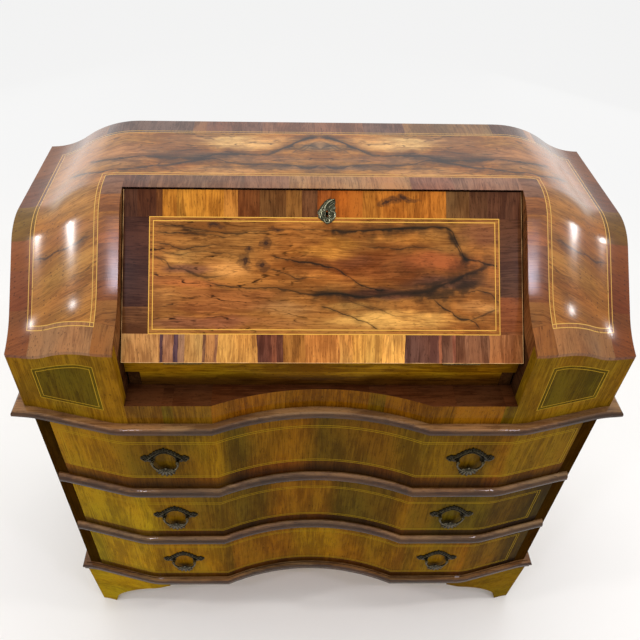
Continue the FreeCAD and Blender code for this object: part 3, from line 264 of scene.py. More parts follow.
def frameDistance():
    # how far a place lies outside a rectangle, negative inside it
    tree, given = newGroup("frame_distance", {"Place": "Vector", "Centre": "Vector", "Half": "Vector"},
                           {"Distance": "Float"})
    off = addNode(tree, "VectorMath SUBTRACT", {0: given["Place"], 1: given["Centre"]})
    off = addNode(tree, "VectorMath ABSOLUTE", {0: off})
    off = addNode(tree, "VectorMath SUBTRACT", {0: off, 1: given["Half"]})
    off = addNode(tree, "SeparateXYZ", {0: off})
    far = addNode(tree, "Math MAXIMUM", {0: off.outputs[0], 1: off.outputs[1]})
    addNode(tree, "NodeGroupOutput", {"Distance": far})
    return tree


veneer = walnutVeneer()
stringing = doubleLine()
outside = frameDistance()


def leafRamp(tree, along, low, high, leaves, blend=0):
    # leaves of veneer laid edge to edge: where each starts in millimetres, and its colour; neighbours
    # out of one flitch run into each other over a blend
    share = addNode(tree, "MapRange", {0: along, 1: low * mm, 2: high * mm})
    ramp = addNode(tree, "ValToRGB", {0: share})
    stops = ramp.color_ramp.elements
    ramp.color_ramp.interpolation = "LINEAR" if blend else "CONSTANT"
    stops.remove(stops[1])
    stops[0].color = srgb(leaves[0][1])
    for (start, colour), (before, earlier) in zip(leaves[1:], leaves):
        reach = min(blend, (start - before) / 2.2)
        if blend:
            stops.new((start - reach - low) / (high - low)).color = srgb(earlier)
        stops.new((start + reach - low) / (high - low)).color = srgb(colour)
    return ramp


def layOver(tree, colour, layers):
    # colours laid over each other, each where its mask shows
    for mask, paint in layers:
        colour = addNode(tree, "Mix RGBA", {0: mask, 6: colour, 7: paint})
    return colour


woodFinish = {"corner": 14, "cornerDark": 0.35, "pores": 0.4, "poreStrength": 0.15, "filmIor": 1.5}


def finishWood(tree, grain, base, leaf=0.3, wave=0.01, figure=0.8, ink=0.0, polish=0.2, gloss=0.2, over=()):
    # French polished walnut: the wood itself is matt, a thin film of shellac gives all its shine, and painted
    # shade from an ambient occlusion node darkens the corners and gaps. Over it lie stringing and ink lines.
    wood = addNode(tree, "Group", {"Grain": grain, "Base": base, "Leaf": leaf, "Wave": wave, "Figure": figure,
                                   "Ink": ink}, node_tree=veneer)
    # painted shade: an ambient occlusion node darkens the wood in its corners and gaps
    corner = addNode(tree, "AmbientOcclusion", {"Distance": woodFinish["corner"] * mm}, samples=6)
    paintedCornerShade = addNode(tree, "MapRange", {0: corner.outputs["AO"], 1: 0.15, 2: 0.75,
                                       3: woodFinish["cornerDark"], 4: 1.0})
    colour = addNode(tree, "VectorMath SCALE", {0: wood, "Scale": paintedCornerShade})
    relief = addNode(tree, "Bump", {"Height": wood.outputs["Height"], "Strength": woodFinish["poreStrength"],
                                    "Distance": woodFinish["pores"] * mm})
    polished = addNode(tree, "BsdfPrincipled", {
        "Base Color": layOver(tree, colour, over), "Roughness": wood.outputs["Roughness"],
        "Normal": relief, "Specular IOR Level": 0.0, "Coat Weight": polish, "Coat Roughness": gloss,
        "Coat IOR": woodFinish["filmIor"]})
    addNode(tree, "OutputMaterial", {0: polished})


def leafSeed(tree, colour, field=None):
    # a different cut of veneer for each colour of leaf, and one cut all over a field
    seed = addNode(tree, "VectorMath DOT_PRODUCT", {0: colour, 1: (37.0, 71.0, 113.0)})
    if field is None:
        return seed
    banded = addNode(tree, "Math SUBTRACT", {0: 1.0, 1: field})
    return addNode(tree, "Math MULTIPLY", {0: seed, 1: banded})


def objectPlace(tree):
    place = addNode(tree, "TexCoord").outputs["Object"]
    return place, addNode(tree, "SeparateXYZ", {0: place}).outputs


def driftPlace(tree, place, noise, reach):
    # places pushed about by a noise, up to half a reach in millimetres each way
    push = addNode(tree, "VectorMath SUBTRACT", {0: noise.outputs["Color"], 1: (0.5, 0.5, 0.5)})
    push = addNode(tree, "VectorMath MULTIPLY", {0: push, 1: (reach[0] * mm, reach[1] * mm, 0)})
    return addNode(tree, "VectorMath ADD", {0: place, 1: push})


def shakeLine(tree, along, noise, reach):
    # the same for one coordinate
    push = addNode(tree, "Math MULTIPLY_ADD", {0: noise, 1: reach * mm, 2: along})
    return addNode(tree, "Math SUBTRACT", {0: push, 1: reach / 2 * mm})


def drawnCourse(tree, along, reach, height, spots):
    # a line drawn through given points: the height in metres at each place along it
    share = addNode(tree, "MapRange", {0: along, 1: reach[0] * mm, 2: reach[1] * mm})
    course = addNode(tree, "FloatCurve", {1: share})
    points = course.mapping.curves[0].points
    while len(points) < len(spots):
        points.new(0.5, 0.5)
    for point, (x, y) in zip(points, spots):
        point.location = ((x - reach[0]) / (reach[1] - reach[0]), (y - height[0]) / (height[1] - height[0]))
    course.mapping.update()
    return addNode(tree, "MapRange", {0: course, 3: height[0] * mm, 4: height[1] * mm})


# shares of an ink line's width where it is thin and broad, its halo's width and darkness, and the run
# in millimetres over which it fades at its ends
veinShape = {"thin": 0.35, "broad": 1.5, "halo": 3.2, "haloDark": 0.42, "fade": 14}


def inkVein(tree, along, across, ripple, reach, height, vein):
    # a dark ink line through a few points, in millimetres
    course = drawnCourse(tree, along, reach, height, vein["points"])
    off = addNode(tree, "Math SUBTRACT", {0: across, 1: course})
    off = addNode(tree, "Math ABSOLUTE", {0: off})
    width = addNode(tree, "MapRange", {0: ripple, 1: 0.38, 2: 0.62, 3: veinShape["thin"] * vein["width"] * mm,
                                       4: veinShape["broad"] * vein["width"] * mm})
    dark = addNode(tree, "MapRange SMOOTHSTEP", {0: off, 1: width, 2: 0.0, 3: 0.0, 4: vein["dark"]})
    halo = addNode(tree, "Math MULTIPLY", {0: width, 1: veinShape["halo"]})
    halo = addNode(tree, "MapRange SMOOTHSTEP", {0: off, 1: halo, 2: 0.0, 3: 0.0,
                                                 4: veinShape["haloDark"] * vein["dark"]})
    dark = addNode(tree, "Math MAXIMUM", {0: dark, 1: halo})
    first, last = vein["points"][0][0], vein["points"][-1][0]
    fade = vein.get("fade", veinShape["fade"])
    for clear, full in ((first - fade, first + fade), (last + fade, last - fade)):
        shown = addNode(tree, "MapRange SMOOTHSTEP", {0: along, 1: clear * mm, 2: full * mm})
        dark = addNode(tree, "Math MULTIPLY", {0: dark, 1: shown})
    return dark


def drawVeins(tree, look, along, across, ripple, within):
    # every ink line of one board, kept inside its field
    layers = []
    for vein in look["veins"]:
        mask = inkVein(tree, along, across, ripple, *look["veinSpan"], vein)
        layers.append((addNode(tree, "Math MULTIPLY", {0: mask, 1: within}), look["ink"]))
    return layers


def ellipseShare(tree, flat, centre, reach):
    # how far off a centre a place lies, as a share of an ellipse's half widths
    off = addNode(tree, "VectorMath SUBTRACT", {0: flat, 1: [c * mm for c in centre] + [0]})
    off = addNode(tree, "VectorMath MULTIPLY", {0: off, 1: (1000 / reach[0], 1000 / reach[1], 0)})
    return addNode(tree, "VectorMath LENGTH", {0: off})


def colourPools(tree, flat, colour, pools):
    # soft clouds of another tone in one leaf: centre, reach, colour and strength
    for centre, reach, tone, strength in pools:
        off = ellipseShare(tree, flat, centre, reach)
        near = addNode(tree, "MapRange SMOOTHSTEP", {0: off, 1: 1.15, 2: 0.35, 3: 0.0, 4: strength})
        colour = addNode(tree, "Mix RGBA", {0: near, 6: colour, 7: tone})
    return colour


print("crown veneer on the top and the shoulders")
crownLook = {
    "field": "#96652f", "side": "#6d4526", "end": "#87603e", "rightShade": (0.80, 0.70, 0.55),
    "sideLine": 463, "backLine": 188, "endLine": -165.5, "endSlope": 0.232, "endFrom": 357,
    "innerLine": 352.5, "frontLine": 41, "spacing": 6.2, "half": 0.6, "line": "#c29648",
    "lean": 0.6, "shoulderFrom": 340, "shoulderTo": 420, "shoulderFall": 0.5,    # the grain over the bend
    "stripFrom": 319.5, "noise": {"wander": 15.0, "ripple": 30.0, "speck": 95.0},    # waves in a metre
    "drift": (60, 30), "shake": 16, "veinSpan": ((0, 480), (-100, 200)), "speck": "#3a2116",
    "frontLeaves": [(-353, "#624337"), (-281, "#70503b"), (-154, "#6f4f3c"), (-127, "#725341"),
                    (-56, "#8c6441"), (138, "#754e3e"), (207, "#7a5441"), (348, "#644539")],
    "backLeaves": [(-500, "#724e35"), (-385, "#5c453e"), (-227, "#725039"), (-204, "#644337"),
                   (-105, "#704b39"), (81, "#5f433a"), (155, "#735537"), (316, "#5b433b"), (379, "#91683a"),
                   (398, "#563e36"), (430, "#744e31")],
    "innerLeaves": [(-230, "#764a22"), (-137, "#6a3e1f"), (-113, "#6e442c"), (-72, "#854e28"),
                    (-60, "#8a5521"), (-36, "#7d4d26"), (-9, "#6b4a39")],
    "outerLeaves": [(-230, "#6f4224"), (-120, "#6f3e25"), (-75, "#764626"), (-40, "#6d4e1f"),
                    (20, "#664131"), (110, "#6f4831")],
    "pools": [((140, 152), (78, 30), "#bf9a66", 0.9), ((165, 55), (90, 16), "#ad8050", 0.7),
              ((75, 168), (60, 12), "#b08350", 0.6), ((225, 165), (60, 22), "#9c7350", 0.5),
              ((260, 130), (70, 26), "#8d6a4c", 0.5), ((0, 142), (34, 20), "#7d6650", 0.7),
              ((110, 96), (120, 14), "#6f5140", 0.6), ((210, 110), (90, 14), "#7a5a48", 0.6),
              ((30, 66), (90, 10), "#5f4a40", 0.6), ((330, 110), (60, 50), "#8f6a52", 0.5),
              ((400, -5), (50, 40), "#a8804e", 0.5), ((400, -88), (60, 26), "#9a6d35", 0.6),
              ((400, -50), (70, 12), "#7f5434", 0.6), ((395, -120), (50, 18), "#8c5c34", 0.5)],
    "veins": [
        {"points": [(0, 178), (17, 174), (38, 158), (62, 135), (92, 111), (130, 110), (172, 111), (212, 97),
                    (250, 98), (306, 101), (330, 95), (361, 94), (393, 99)], "width": 9, "dark": 0.8},
        {"points": [(0, 78), (24, 67), (60, 77), (92, 79), (120, 78), (155, 82), (188, 96), (226, 84),
                    (268, 70), (301, 65), (324, 59), (341, 57), (365, 54), (395, 64), (420, 75)],
         "width": 8.0, "dark": 0.8},
        {"points": [(0, 178), (17, 174), (38, 158), (62, 135), (92, 116)], "width": 12, "dark": 0.75},
        {"points": [(120, 114), (172, 113), (230, 104), (290, 104)], "width": 14, "dark": 0.45},
        {"points": [(0, 72), (60, 74), (130, 76), (200, 90)], "width": 13, "dark": 0.4},
        {"points": [(0, 127), (20, 145), (34, 134), (52, 112)], "width": 8.0, "dark": 0.7},
        {"points": [(0, 160), (14, 150), (26, 132), (40, 120)], "width": 5.0, "dark": 0.6},
        {"points": [(130, 110), (170, 122), (215, 128), (262, 118), (300, 122)], "width": 2.4, "dark": 0.7},
        {"points": [(60, 60), (110, 66), (160, 68), (210, 60)], "width": 2.0, "dark": 0.6},
        {"points": [(361, -60), (386, -64), (401, -67), (420, -67), (443, -65), (463, -65)], "width": 3.0,
         "dark": 0.8},
        {"points": [(360, -21), (386, -26), (408, -26), (431, -25), (455, -24)],
         "width": 8.0, "dark": 0.35},
    ],
    "ink": "#1f1a1c",
}
# Sliced walnut, French polished: warm brown clouds under dark ink lines, glossy and hazed on the crest
material, tree = newMaterial("walnut_veneer_crown")
x, y, z = objectPlace(tree)[1]
side = addNode(tree, "Math ABSOLUTE", {0: x})
facing = addNode(tree, "SeparateXYZ", {0: addNode(tree, "NewGeometry").outputs["True Normal"]})
upright = addNode(tree, "Math ABSOLUTE", {0: facing})
upright = addNode(tree, "Math GREATER_THAN", {0: upright, 1: 0.9})
slope = addNode(tree, "Math MULTIPLY_ADD", {0: z, 1: crownLook["lean"], 2: y})
droop = addNode(tree, "Math SUBTRACT", {0: side, 1: crownLook["shoulderFrom"] * mm})
droop = addNode(tree, "Math MAXIMUM", {0: droop, 1: 0.0})
fallen = addNode(tree, "Math MULTIPLY_ADD", {0: droop, 1: crownLook["shoulderFall"], 2: slope})
end = addNode(tree, "Math MULTIPLY_ADD", {0: side, 1: crownLook["endSlope"],
                             2: (crownLook["endLine"] - crownLook["endSlope"] * crownLook["endFrom"]) * mm})
outer = addNode(tree, "Math SUBTRACT", {0: side, 1: crownLook["sideLine"] * mm})
behind = addNode(tree, "Math SUBTRACT", {0: y, 1: crownLook["backLine"] * mm})
before = addNode(tree, "Math SUBTRACT", {0: end, 1: y})
outerFar = addNode(tree, "Math MAXIMUM", {0: outer, 1: behind})
outerFar = addNode(tree, "Math MAXIMUM", {0: outerFar, 1: before})
inner = addNode(tree, "Math SUBTRACT", {0: side, 1: crownLook["innerLine"] * mm})
front = addNode(tree, "Math SUBTRACT", {0: y, 1: crownLook["frontLine"] * mm})
innerFar = addNode(tree, "Math MAXIMUM", {0: inner, 1: front})
spacing, half = crownLook["spacing"] * mm, crownLook["half"] * mm
outerLines = addNode(tree, "Group", {"Distance": outerFar, "Spacing": spacing, "Half": half},
                     node_tree=stringing)
innerLines = addNode(tree, "Group", {"Distance": innerFar, "Spacing": spacing, "Half": half},
                     node_tree=stringing)
clear = addNode(tree, "Math GREATER_THAN", {0: innerFar, 1: -half})
within = addNode(tree, "Math LESS_THAN", {0: outerFar, 1: spacing + half})
outerLines = addNode(tree, "Math MULTIPLY", {0: outerLines, 1: clear})
innerLines = addNode(tree, "Math MULTIPLY", {0: innerLines, 1: within})
lineMask = addNode(tree, "Math MAXIMUM", {0: outerLines, 1: innerLines})
notSide = addNode(tree, "Math SUBTRACT", {0: 1.0, 1: upright})
lineMask = addNode(tree, "Math MULTIPLY", {0: lineMask, 1: notSide})

inFront = addNode(tree, "Math LESS_THAN", {0: innerFar, 1: 0.0})
onStrip = addNode(tree, "Math GREATER_THAN", {0: side, 1: crownLook["stripFrom"] * mm})
isOuter = addNode(tree, "Math GREATER_THAN", {0: outer, 1: 0.0})
isBehind = addNode(tree, "Math GREATER_THAN", {0: behind, 1: 0.0})
isBefore = addNode(tree, "Math GREATER_THAN", {0: before, 1: 0.0})
frontLeaf = leafRamp(tree, x, -353, 353, crownLook["frontLeaves"])
innerLeaf = leafRamp(tree, y, -230, 45, crownLook["innerLeaves"])
outerLeaf = leafRamp(tree, y, -230, 240, crownLook["outerLeaves"])
backLeaf = leafRamp(tree, x, -500, 500, crownLook["backLeaves"])
flat = addNode(tree, "CombineXYZ", {0: side, 1: fallen, 2: 0.0})
plan = addNode(tree, "CombineXYZ", {0: side, 1: y, 2: 0.0})
wander = addNode(tree, "TexNoise", {"Vector": plan, "Scale": crownLook["noise"]["wander"], "Detail": 3.0})
drifted = driftPlace(tree, plan, wander, crownLook["drift"])
field = colourPools(tree, drifted, crownLook["field"], crownLook["pools"])
frontLeaf = layOver(tree, frontLeaf, [(onStrip, innerLeaf)])
base = layOver(tree, field, [(isBefore, crownLook["end"]), (isBehind, backLeaf), (isOuter, outerLeaf),
                             (inFront, frontLeaf), (upright, crownLook["side"])])
inField = addNode(tree, "Math LESS_THAN", {0: outerFar, 1: 0.0})
inField = addNode(tree, "Math SUBTRACT", {0: inField, 1: inFront}, use_clamp=True)
inField = addNode(tree, "Math MULTIPLY", {0: inField, 1: notSide})
seed = leafSeed(tree, base, inField)
turned = addNode(tree, "MapRange SMOOTHSTEP", {0: x, 1: 0.30, 2: 0.40})
darker = addNode(tree, "VectorMath MULTIPLY", {0: base, 1: crownLook["rightShade"]})
base = layOver(tree, base, [(turned, darker)])

across = addNode(tree, "CombineXYZ", {0: slope, 1: x, 2: 0.0})
standing = addNode(tree, "CombineXYZ", {0: z, 1: y, 2: 0.0})
crossed = addNode(tree, "Math MAXIMUM", {0: isBefore, 1: isBehind})
notStrip = addNode(tree, "Math SUBTRACT", {0: inFront, 1: onStrip}, use_clamp=True)
crossed = addNode(tree, "Math SUBTRACT", {0: crossed, 1: isOuter}, use_clamp=True)
crossed = addNode(tree, "Math MAXIMUM", {0: crossed, 1: notStrip})
grain = addNode(tree, "Mix VECTOR", {0: crossed, 4: flat, 5: across})
grain = addNode(tree, "Mix VECTOR", {0: upright, 4: grain, 5: standing})
ripple = addNode(tree, "TexNoise", {"Vector": flat, "Scale": crownLook["noise"]["ripple"], "Detail": 4.0})
over = drawVeins(tree, crownLook, side, shakeLine(tree, y, ripple, crownLook["shake"]), ripple, inField)
over.append((lineMask, crownLook["line"]))
bend = {0: side, 1: crownLook["shoulderFrom"] * mm, 2: crownLook["shoulderTo"] * mm}
onWing = addNode(tree, "MapRange", {**bend, 3: 1.0, 4: 0.6})    # quieter figure and ink down the shoulders
figure = addNode(tree, "MapRange", {0: inField, 3: 0.8, 4: 1.0})
figure = addNode(tree, "Math MULTIPLY", {0: figure, 1: onWing})
ink = addNode(tree, "MapRange", {**bend, 3: 0.8, 4: 0.3})
ink = addNode(tree, "Math MULTIPLY", {0: inField, 1: ink})
# worm holes and filled pores, one in four of the cells
speck = addNode(tree, "TexVoronoi", {"Vector": flat, "Scale": crownLook["noise"]["speck"]},
                voronoi_dimensions="2D")
near = addNode(tree, "MapRange SMOOTHSTEP", {0: speck, 1: 0.17, 2: 0.08})
chosen = addNode(tree, "SeparateXYZ", {0: speck.outputs["Color"]})
chosen = addNode(tree, "Math GREATER_THAN", {0: chosen, 1: 0.72})
low = addNode(tree, "MapRange", {0: side, 1: 0.36, 2: 0.40, 3: 0.0, 4: 0.6})
for mask in (chosen, low):
    near = addNode(tree, "Math MULTIPLY", {0: near, 1: mask})
over.append((near, crownLook["speck"]))
# the polish lies thick on the crest and is rubbed thinner down the shoulders
polish = addNode(tree, "MapRange SMOOTHSTEP", {0: z, 1: 0.90, 2: 1.0, 3: 0.45, 4: 1.0})
finishWood(tree, grain, base, leaf=seed, wave=0.03, figure=figure, ink=ink, polish=polish, gloss=0.19,
           over=over)
dress(material, "desk_top", "wing_left", "wing_right")


print("fall veneer")
fallLook = {
    "hinge": (0, -0.173, 0.820), "tilt": 45,
    "outer": (-276, 281, 45.5, 231), "inner": (-270, 274.5, 52.5, 225), "half": 0.65, "line": "#d6a246",
    # the edge colour is a painted highlight along the board's arrises
    "field": "#94602e", "edge": "#dcae74", "face": 18, "skin": 21.6, "brim": 317.2, "arrisHighlight": 0.8,
    # the keyhole's dark colour below is painted shade inside it
    "keyhole": ((5.2, 4.5), (235.5, 9.5)), "bore": "#0c0806",    # middles and half widths
    "noise": {"wander": 16.0, "ripple": 42.0, "torn": 85.0},    # waves in a metre
    "sway": 12, "drift": (60, 30), "shake": 11, "tear": (24, 14), "veinSpan": ((-280, 285), (40, 240)),
    "topLeaves": [(-318, "#492b1d"), (-296, "#442718"), (-268, "#684224"), (-256, "#9f6a26"),
                  (-236, "#ad772c"), (-160, "#a76c2e"), (-137, "#65391c"), (-104, "#614022"),
                  (-60, "#764f26"), (-36, "#603d26"), (-12, "#83481f"), (12, "#96541e"), (60, "#a36324"),
                  (195, "#644426"), (232, "#503624"), (262, "#543423")],
    "footLeaves": [(-318, "#b48451"), (-260, "#5e4348"), (-254, "#976b4f"), (-238, "#4d3a46"),
                   (-229, "#89644d"), (-219, "#a97c46"), (-192, "#78533e"), (-187, "#a27044"),
                   (-173, "#805942"), (-168, "#ca934c"), (-112, "#af793e"), (-105, "#5b352a"),
                   (-84, "#784835"), (-75, "#633a2c"), (-66, "#9a622c"), (-30, "#b97d41"), (24, "#b88142"),
                   (44, "#c68f45"), (92, "#d39c50"), (129, "#5c3d34"), (168, "#70483e"), (182, "#865540"),
                   (188, "#6e4837"), (205, "#8d5946"), (210, "#6e4834"), (226, "#97664a"), (231, "#7a4f37"),
                   (262, "#98643e")],
    "leftLeaves": [(0, "#6a4124"), (88, "#432920")],
    "rightLeaves": [(0, "#8d5431"), (50, "#794628"), (105, "#543422")],
    "pools": [((110, 155), (190, 34), "#784422", 0.9), ((179, 164), (60, 18), "#954d29", 0.8),
              ((0, 179), (46, 15), "#bf833a", 0.9), ((-160, 150), (46, 17), "#bf8246", 0.9),
              ((-228, 165), (30, 12), "#b78244", 0.8), ((-3, 136), (34, 12), "#b37538", 0.8),
              ((55, 161), (40, 16), "#6b4028", 0.7), ((131, 200), (70, 9), "#a06b32", 0.9),
              ((26, 194), (40, 10), "#ad7732", 0.7), ((126, 68), (130, 15), "#ce974f", 0.95),
              ((40, 92), (40, 9), "#af7d40", 0.8), ((243, 92), (40, 12), "#af7c46", 0.85),
              ((100, 110), (100, 13), "#533229", 0.85), ((190, 128), (90, 16), "#4f332c", 0.8),
              ((-150, 108), (110, 12), "#85512d", 0.7), ((-240, 130), (50, 12), "#8e552d", 0.6),
              ((255, 205), (40, 24), "#70412a", 0.85), ((-146, 90), (120, 14), "#8c5431", 0.6),
              ((-190, 66), (110, 12), "#835038", 0.8), ((-210, 149), (40, 10), "#764b38", 0.8),
              ((-200, 124), (60, 8), "#9c5b31", 0.7), ((-60, 86), (60, 16), "#a67646", 0.5),
              ((-248, 102), (24, 20), "#a4733f", 0.6), ((-60, 62), (50, 10), "#885832", 0.5)],
    "veins": [
        {"points": [(-230, 214), (-170, 206), (-110, 208), (-60, 212), (12, 211)],
         "width": 1.6, "dark": 0.7},
        {"points": [(12, 211), (64, 210), (112, 214), (165, 217), (194, 216), (204, 211), (211, 198),
                    (220, 179), (227, 167), (242, 163), (261, 158), (278, 155)], "width": 6.0, "dark": 0.92,
         "fade": 3},
        {"points": [(198, 210), (206, 200), (214, 184), (221, 172), (232, 164)], "width": 19, "dark": 0.85,
         "fade": 6},
        {"points": [(60, 211), (90, 212), (130, 213), (160, 214)], "width": 13, "dark": 0.6},
        {"points": [(-83, 170), (-67, 165), (-44, 162), (-22, 160), (1, 155), (26, 146), (40, 135),
                    (67, 121), (83, 117), (98, 117)], "width": 2.6, "dark": 0.95, "fade": 6},
        {"points": [(-88, 150), (-76, 147), (-56, 139), (-35, 135), (-3, 135)], "width": 1.7, "dark": 0.8},
        {"points": [(-187, 127), (-146, 120), (-112, 118), (-83, 119), (-60, 116), (-37, 111), (-15, 108),
                    (8, 111), (26, 110), (48, 106), (71, 104)], "width": 3.0, "dark": 0.8},
        {"points": [(-20, 109), (8, 111), (26, 110), (60, 104), (107, 110), (136, 113), (160, 114),
                    (179, 121), (203, 128), (227, 141), (251, 150), (266, 158)], "width": 9, "dark": 0.85},
        {"points": [(150, 109), (179, 107), (203, 114), (227, 122), (251, 131)], "width": 17, "dark": 0.75},
        {"points": [(150, 124), (185, 128), (220, 137), (250, 142)], "width": 12, "dark": 0.6},
        {"points": [(-3, 91), (13, 85), (30, 79), (59, 68), (86, 55)],
         "width": 1.8, "dark": 0.9, "fade": 4},
        {"points": [(38, 101), (52, 94), (69, 90), (90, 85), (114, 75), (145, 74)],
         "width": 1.8, "dark": 0.6},
        {"points": [(176, 100), (188, 90), (203, 81), (215, 72), (231, 69), (248, 57)], "width": 3.4,
         "dark": 0.92, "fade": 4},
        {"points": [(232, 112), (246, 115), (261, 113), (270, 107), (278, 99)], "width": 2.2, "dark": 0.85,
         "fade": 4},
        {"points": [(236, 69), (251, 76), (265, 82), (277, 86)], "width": 3.4, "dark": 0.7, "fade": 4},
        {"points": [(67, 185), (91, 184), (119, 183), (146, 186), (165, 183), (189, 181)], "width": 2.2,
         "dark": 0.7},
        {"points": [(90, 152), (130, 160), (150, 156)], "width": 8.0, "dark": 0.35},
        {"points": [(-269, 219), (-238, 217), (-201, 212), (-170, 206), (-142, 204), (-124, 206)],
         "width": 1.7, "dark": 0.75},
        {"points": [(-265, 208), (-226, 206), (-201, 204), (-183, 202), (-151, 198)],
         "width": 1.6, "dark": 0.8},
        {"points": [(-269, 189), (-249, 188), (-230, 181), (-201, 184), (-169, 186)],
         "width": 1.6, "dark": 0.8},
        {"points": [(-260, 181), (-230, 172), (-201, 177), (-169, 174), (-140, 172)],
         "width": 1.4, "dark": 0.7},
        {"points": [(-269, 167), (-253, 162), (-239, 149), (-214, 145), (-192, 137), (-155, 136)],
         "width": 4.2, "dark": 0.75},
    ],
    "ink": "#1d1a14", "knot": "#33221a", "rings": 7.5,
    "knots": [((-128, 160), (9, 13)), ((-93, 153), (16, 8)), ((-87, 188), (8, 11)), ((-120, 178), (8, 6)),
              ((-172, 216), (13, 5)), ((-72, 214), (12, 5)), ((106, 256), (18, 6)), ((128, 262), (20, 4))],
}


def mapFall(tree):
    # places on the sloping board as it lies closed: across, up the slope and out of the face
    place = addNode(tree, "TexCoord").outputs["Object"]
    flat = addNode(tree, "Mapping", {"Vector": place, "Location": fallLook["hinge"],
                                     "Rotation": (radians(fallLook["tilt"]), 0, 0)}, vector_type="TEXTURE")
    return flat, addNode(tree, "SeparateXYZ", {0: flat}).outputs


def frameSpan(left, right, low, high):
    return {"Centre": [(left + right) / 2 * mm, (low + high) / 2 * mm, 0],
            "Half": [(right - left) / 2 * mm, (high - low) / 2 * mm, 1]}


# Sliced walnut, French polished and rubbed dull: torn knots and strong ink lines in a banded frame
material, tree = newMaterial("walnut_veneer_fall")
flat, (x, up, out) = mapFall(tree)
far = {name: addNode(tree, "Group", {"Place": flat, **frameSpan(*fallLook[name])}, node_tree=outside)
       for name in ("outer", "inner")}
masks = [addNode(tree, "Math COMPARE", {0: spot, 1: 0.0, 2: fallLook["half"] * mm})
         for spot in far.values()]
lineMask = addNode(tree, "Math MAXIMUM", {0: masks[0], 1: masks[1]})
face = addNode(tree, "Math GREATER_THAN", {0: out, 1: fallLook["face"] * mm})
lineMask = addNode(tree, "Math MULTIPLY", {0: lineMask, 1: face})
inField = addNode(tree, "Math LESS_THAN", {0: far["outer"], 1: 0.0})
above = addNode(tree, "Math GREATER_THAN", {0: up, 1: fallLook["outer"][3] * mm})
below = addNode(tree, "Math LESS_THAN", {0: up, 1: fallLook["outer"][2] * mm})
right = addNode(tree, "Math GREATER_THAN", {0: x, 1: 0.0})
wander = addNode(tree, "TexNoise", {"Vector": flat, "Scale": fallLook["noise"]["wander"], "Detail": 3.0})
topLeaf = leafRamp(tree, x, -318, 318, fallLook["topLeaves"])
swayed = shakeLine(tree, x, wander, fallLook["sway"])
footLeaf = leafRamp(tree, swayed, -318, 318, fallLook["footLeaves"])
leftLeaf = leafRamp(tree, up, 0, 275, fallLook["leftLeaves"])
rightLeaf = leafRamp(tree, up, 0, 275, fallLook["rightLeaves"])
drifted = driftPlace(tree, flat, wander, fallLook["drift"])
pooled = colourPools(tree, drifted, fallLook["field"], fallLook["pools"])
base = layOver(tree, leftLeaf, [(right, rightLeaf), (above, topLeaf), (below, footLeaf), (inField, pooled)])
seed = leafSeed(tree, base, inField)
crossed = addNode(tree, "Math MAXIMUM", {0: above, 1: below})
crossed = addNode(tree, "Math SUBTRACT", {0: crossed, 1: inField}, use_clamp=True)
turned = addNode(tree, "CombineXYZ", {0: up, 1: x, 2: out})
grain = addNode(tree, "Mix VECTOR", {0: crossed, 4: flat, 5: turned})
ripple = addNode(tree, "TexNoise", {"Vector": flat, "Scale": fallLook["noise"]["ripple"], "Detail": 4.0})
over = drawVeins(tree, fallLook, x, shakeLine(tree, up, ripple, fallLook["shake"]), ripple, inField)
torn = addNode(tree, "TexNoise", {"Vector": flat, "Scale": fallLook["noise"]["torn"], "Detail": 3.0})
torn = driftPlace(tree, drifted, torn, fallLook["tear"])
for centre, reach in fallLook["knots"]:
    off = ellipseShare(tree, torn, centre, reach)
    rings = addNode(tree, "Math MULTIPLY", {0: off, 1: fallLook["rings"]})
    rings = addNode(tree, "Math SINE", {0: rings})
    rings = addNode(tree, "MapRange", {0: rings, 1: -1.0, 2: 1.0, 3: 0.55, 4: 0.95})
    knot = addNode(tree, "MapRange SMOOTHSTEP", {0: off, 1: 1.35, 2: 0.55})
    knot = addNode(tree, "Math MULTIPLY", {0: knot, 1: rings})
    over.append((knot, fallLook["knot"]))
over.append((lineMask, fallLook["line"]))
# painted shade: the keyhole's walls are painted black inside
bore = addNode(tree, "Math LESS_THAN", {0: out, 1: fallLook["skin"] * mm})
for spot, (middle, half) in zip((x, up), fallLook["keyhole"]):
    near = addNode(tree, "Math COMPARE", {0: spot, 1: middle * mm, 2: half * mm})
    bore = addNode(tree, "Math MULTIPLY", {0: bore, 1: near})
over.append((bore, fallLook["bore"]))
# painted highlight: a broken bright line along the board's lower arris and its side arrises
brim = addNode(tree, "Math ABSOLUTE", {0: x})
brim = addNode(tree, "Math GREATER_THAN", {0: brim, 1: fallLook["brim"] * mm})
arrisHighlight = addNode(tree, "Math LESS_THAN", {0: up, 1: fallLook["arrisHighlight"] * mm})
arrisHighlight = addNode(tree, "Math MAXIMUM", {0: arrisHighlight, 1: brim})
wearAndHighlight = addNode(tree, "MapRange", {0: ripple, 1: 0.35, 2: 0.6, 3: 0.2, 4: 0.9})
for mask in (face, wearAndHighlight):
    arrisHighlight = addNode(tree, "Math MULTIPLY", {0: arrisHighlight, 1: mask})
over.append((arrisHighlight, fallLook["edge"]))
leftPart = addNode(tree, "MapRange", {0: x, 1: 0.05, 2: -0.1, 3: 0.3, 4: 1.0})
ink = addNode(tree, "Math MULTIPLY", {0: inField, 1: leftPart})
finishWood(tree, grain, base, leaf=seed, wave=0.022, figure=0.85, ink=ink, polish=0.08, gloss=0.25, over=over)
dress(material, "fall_front")


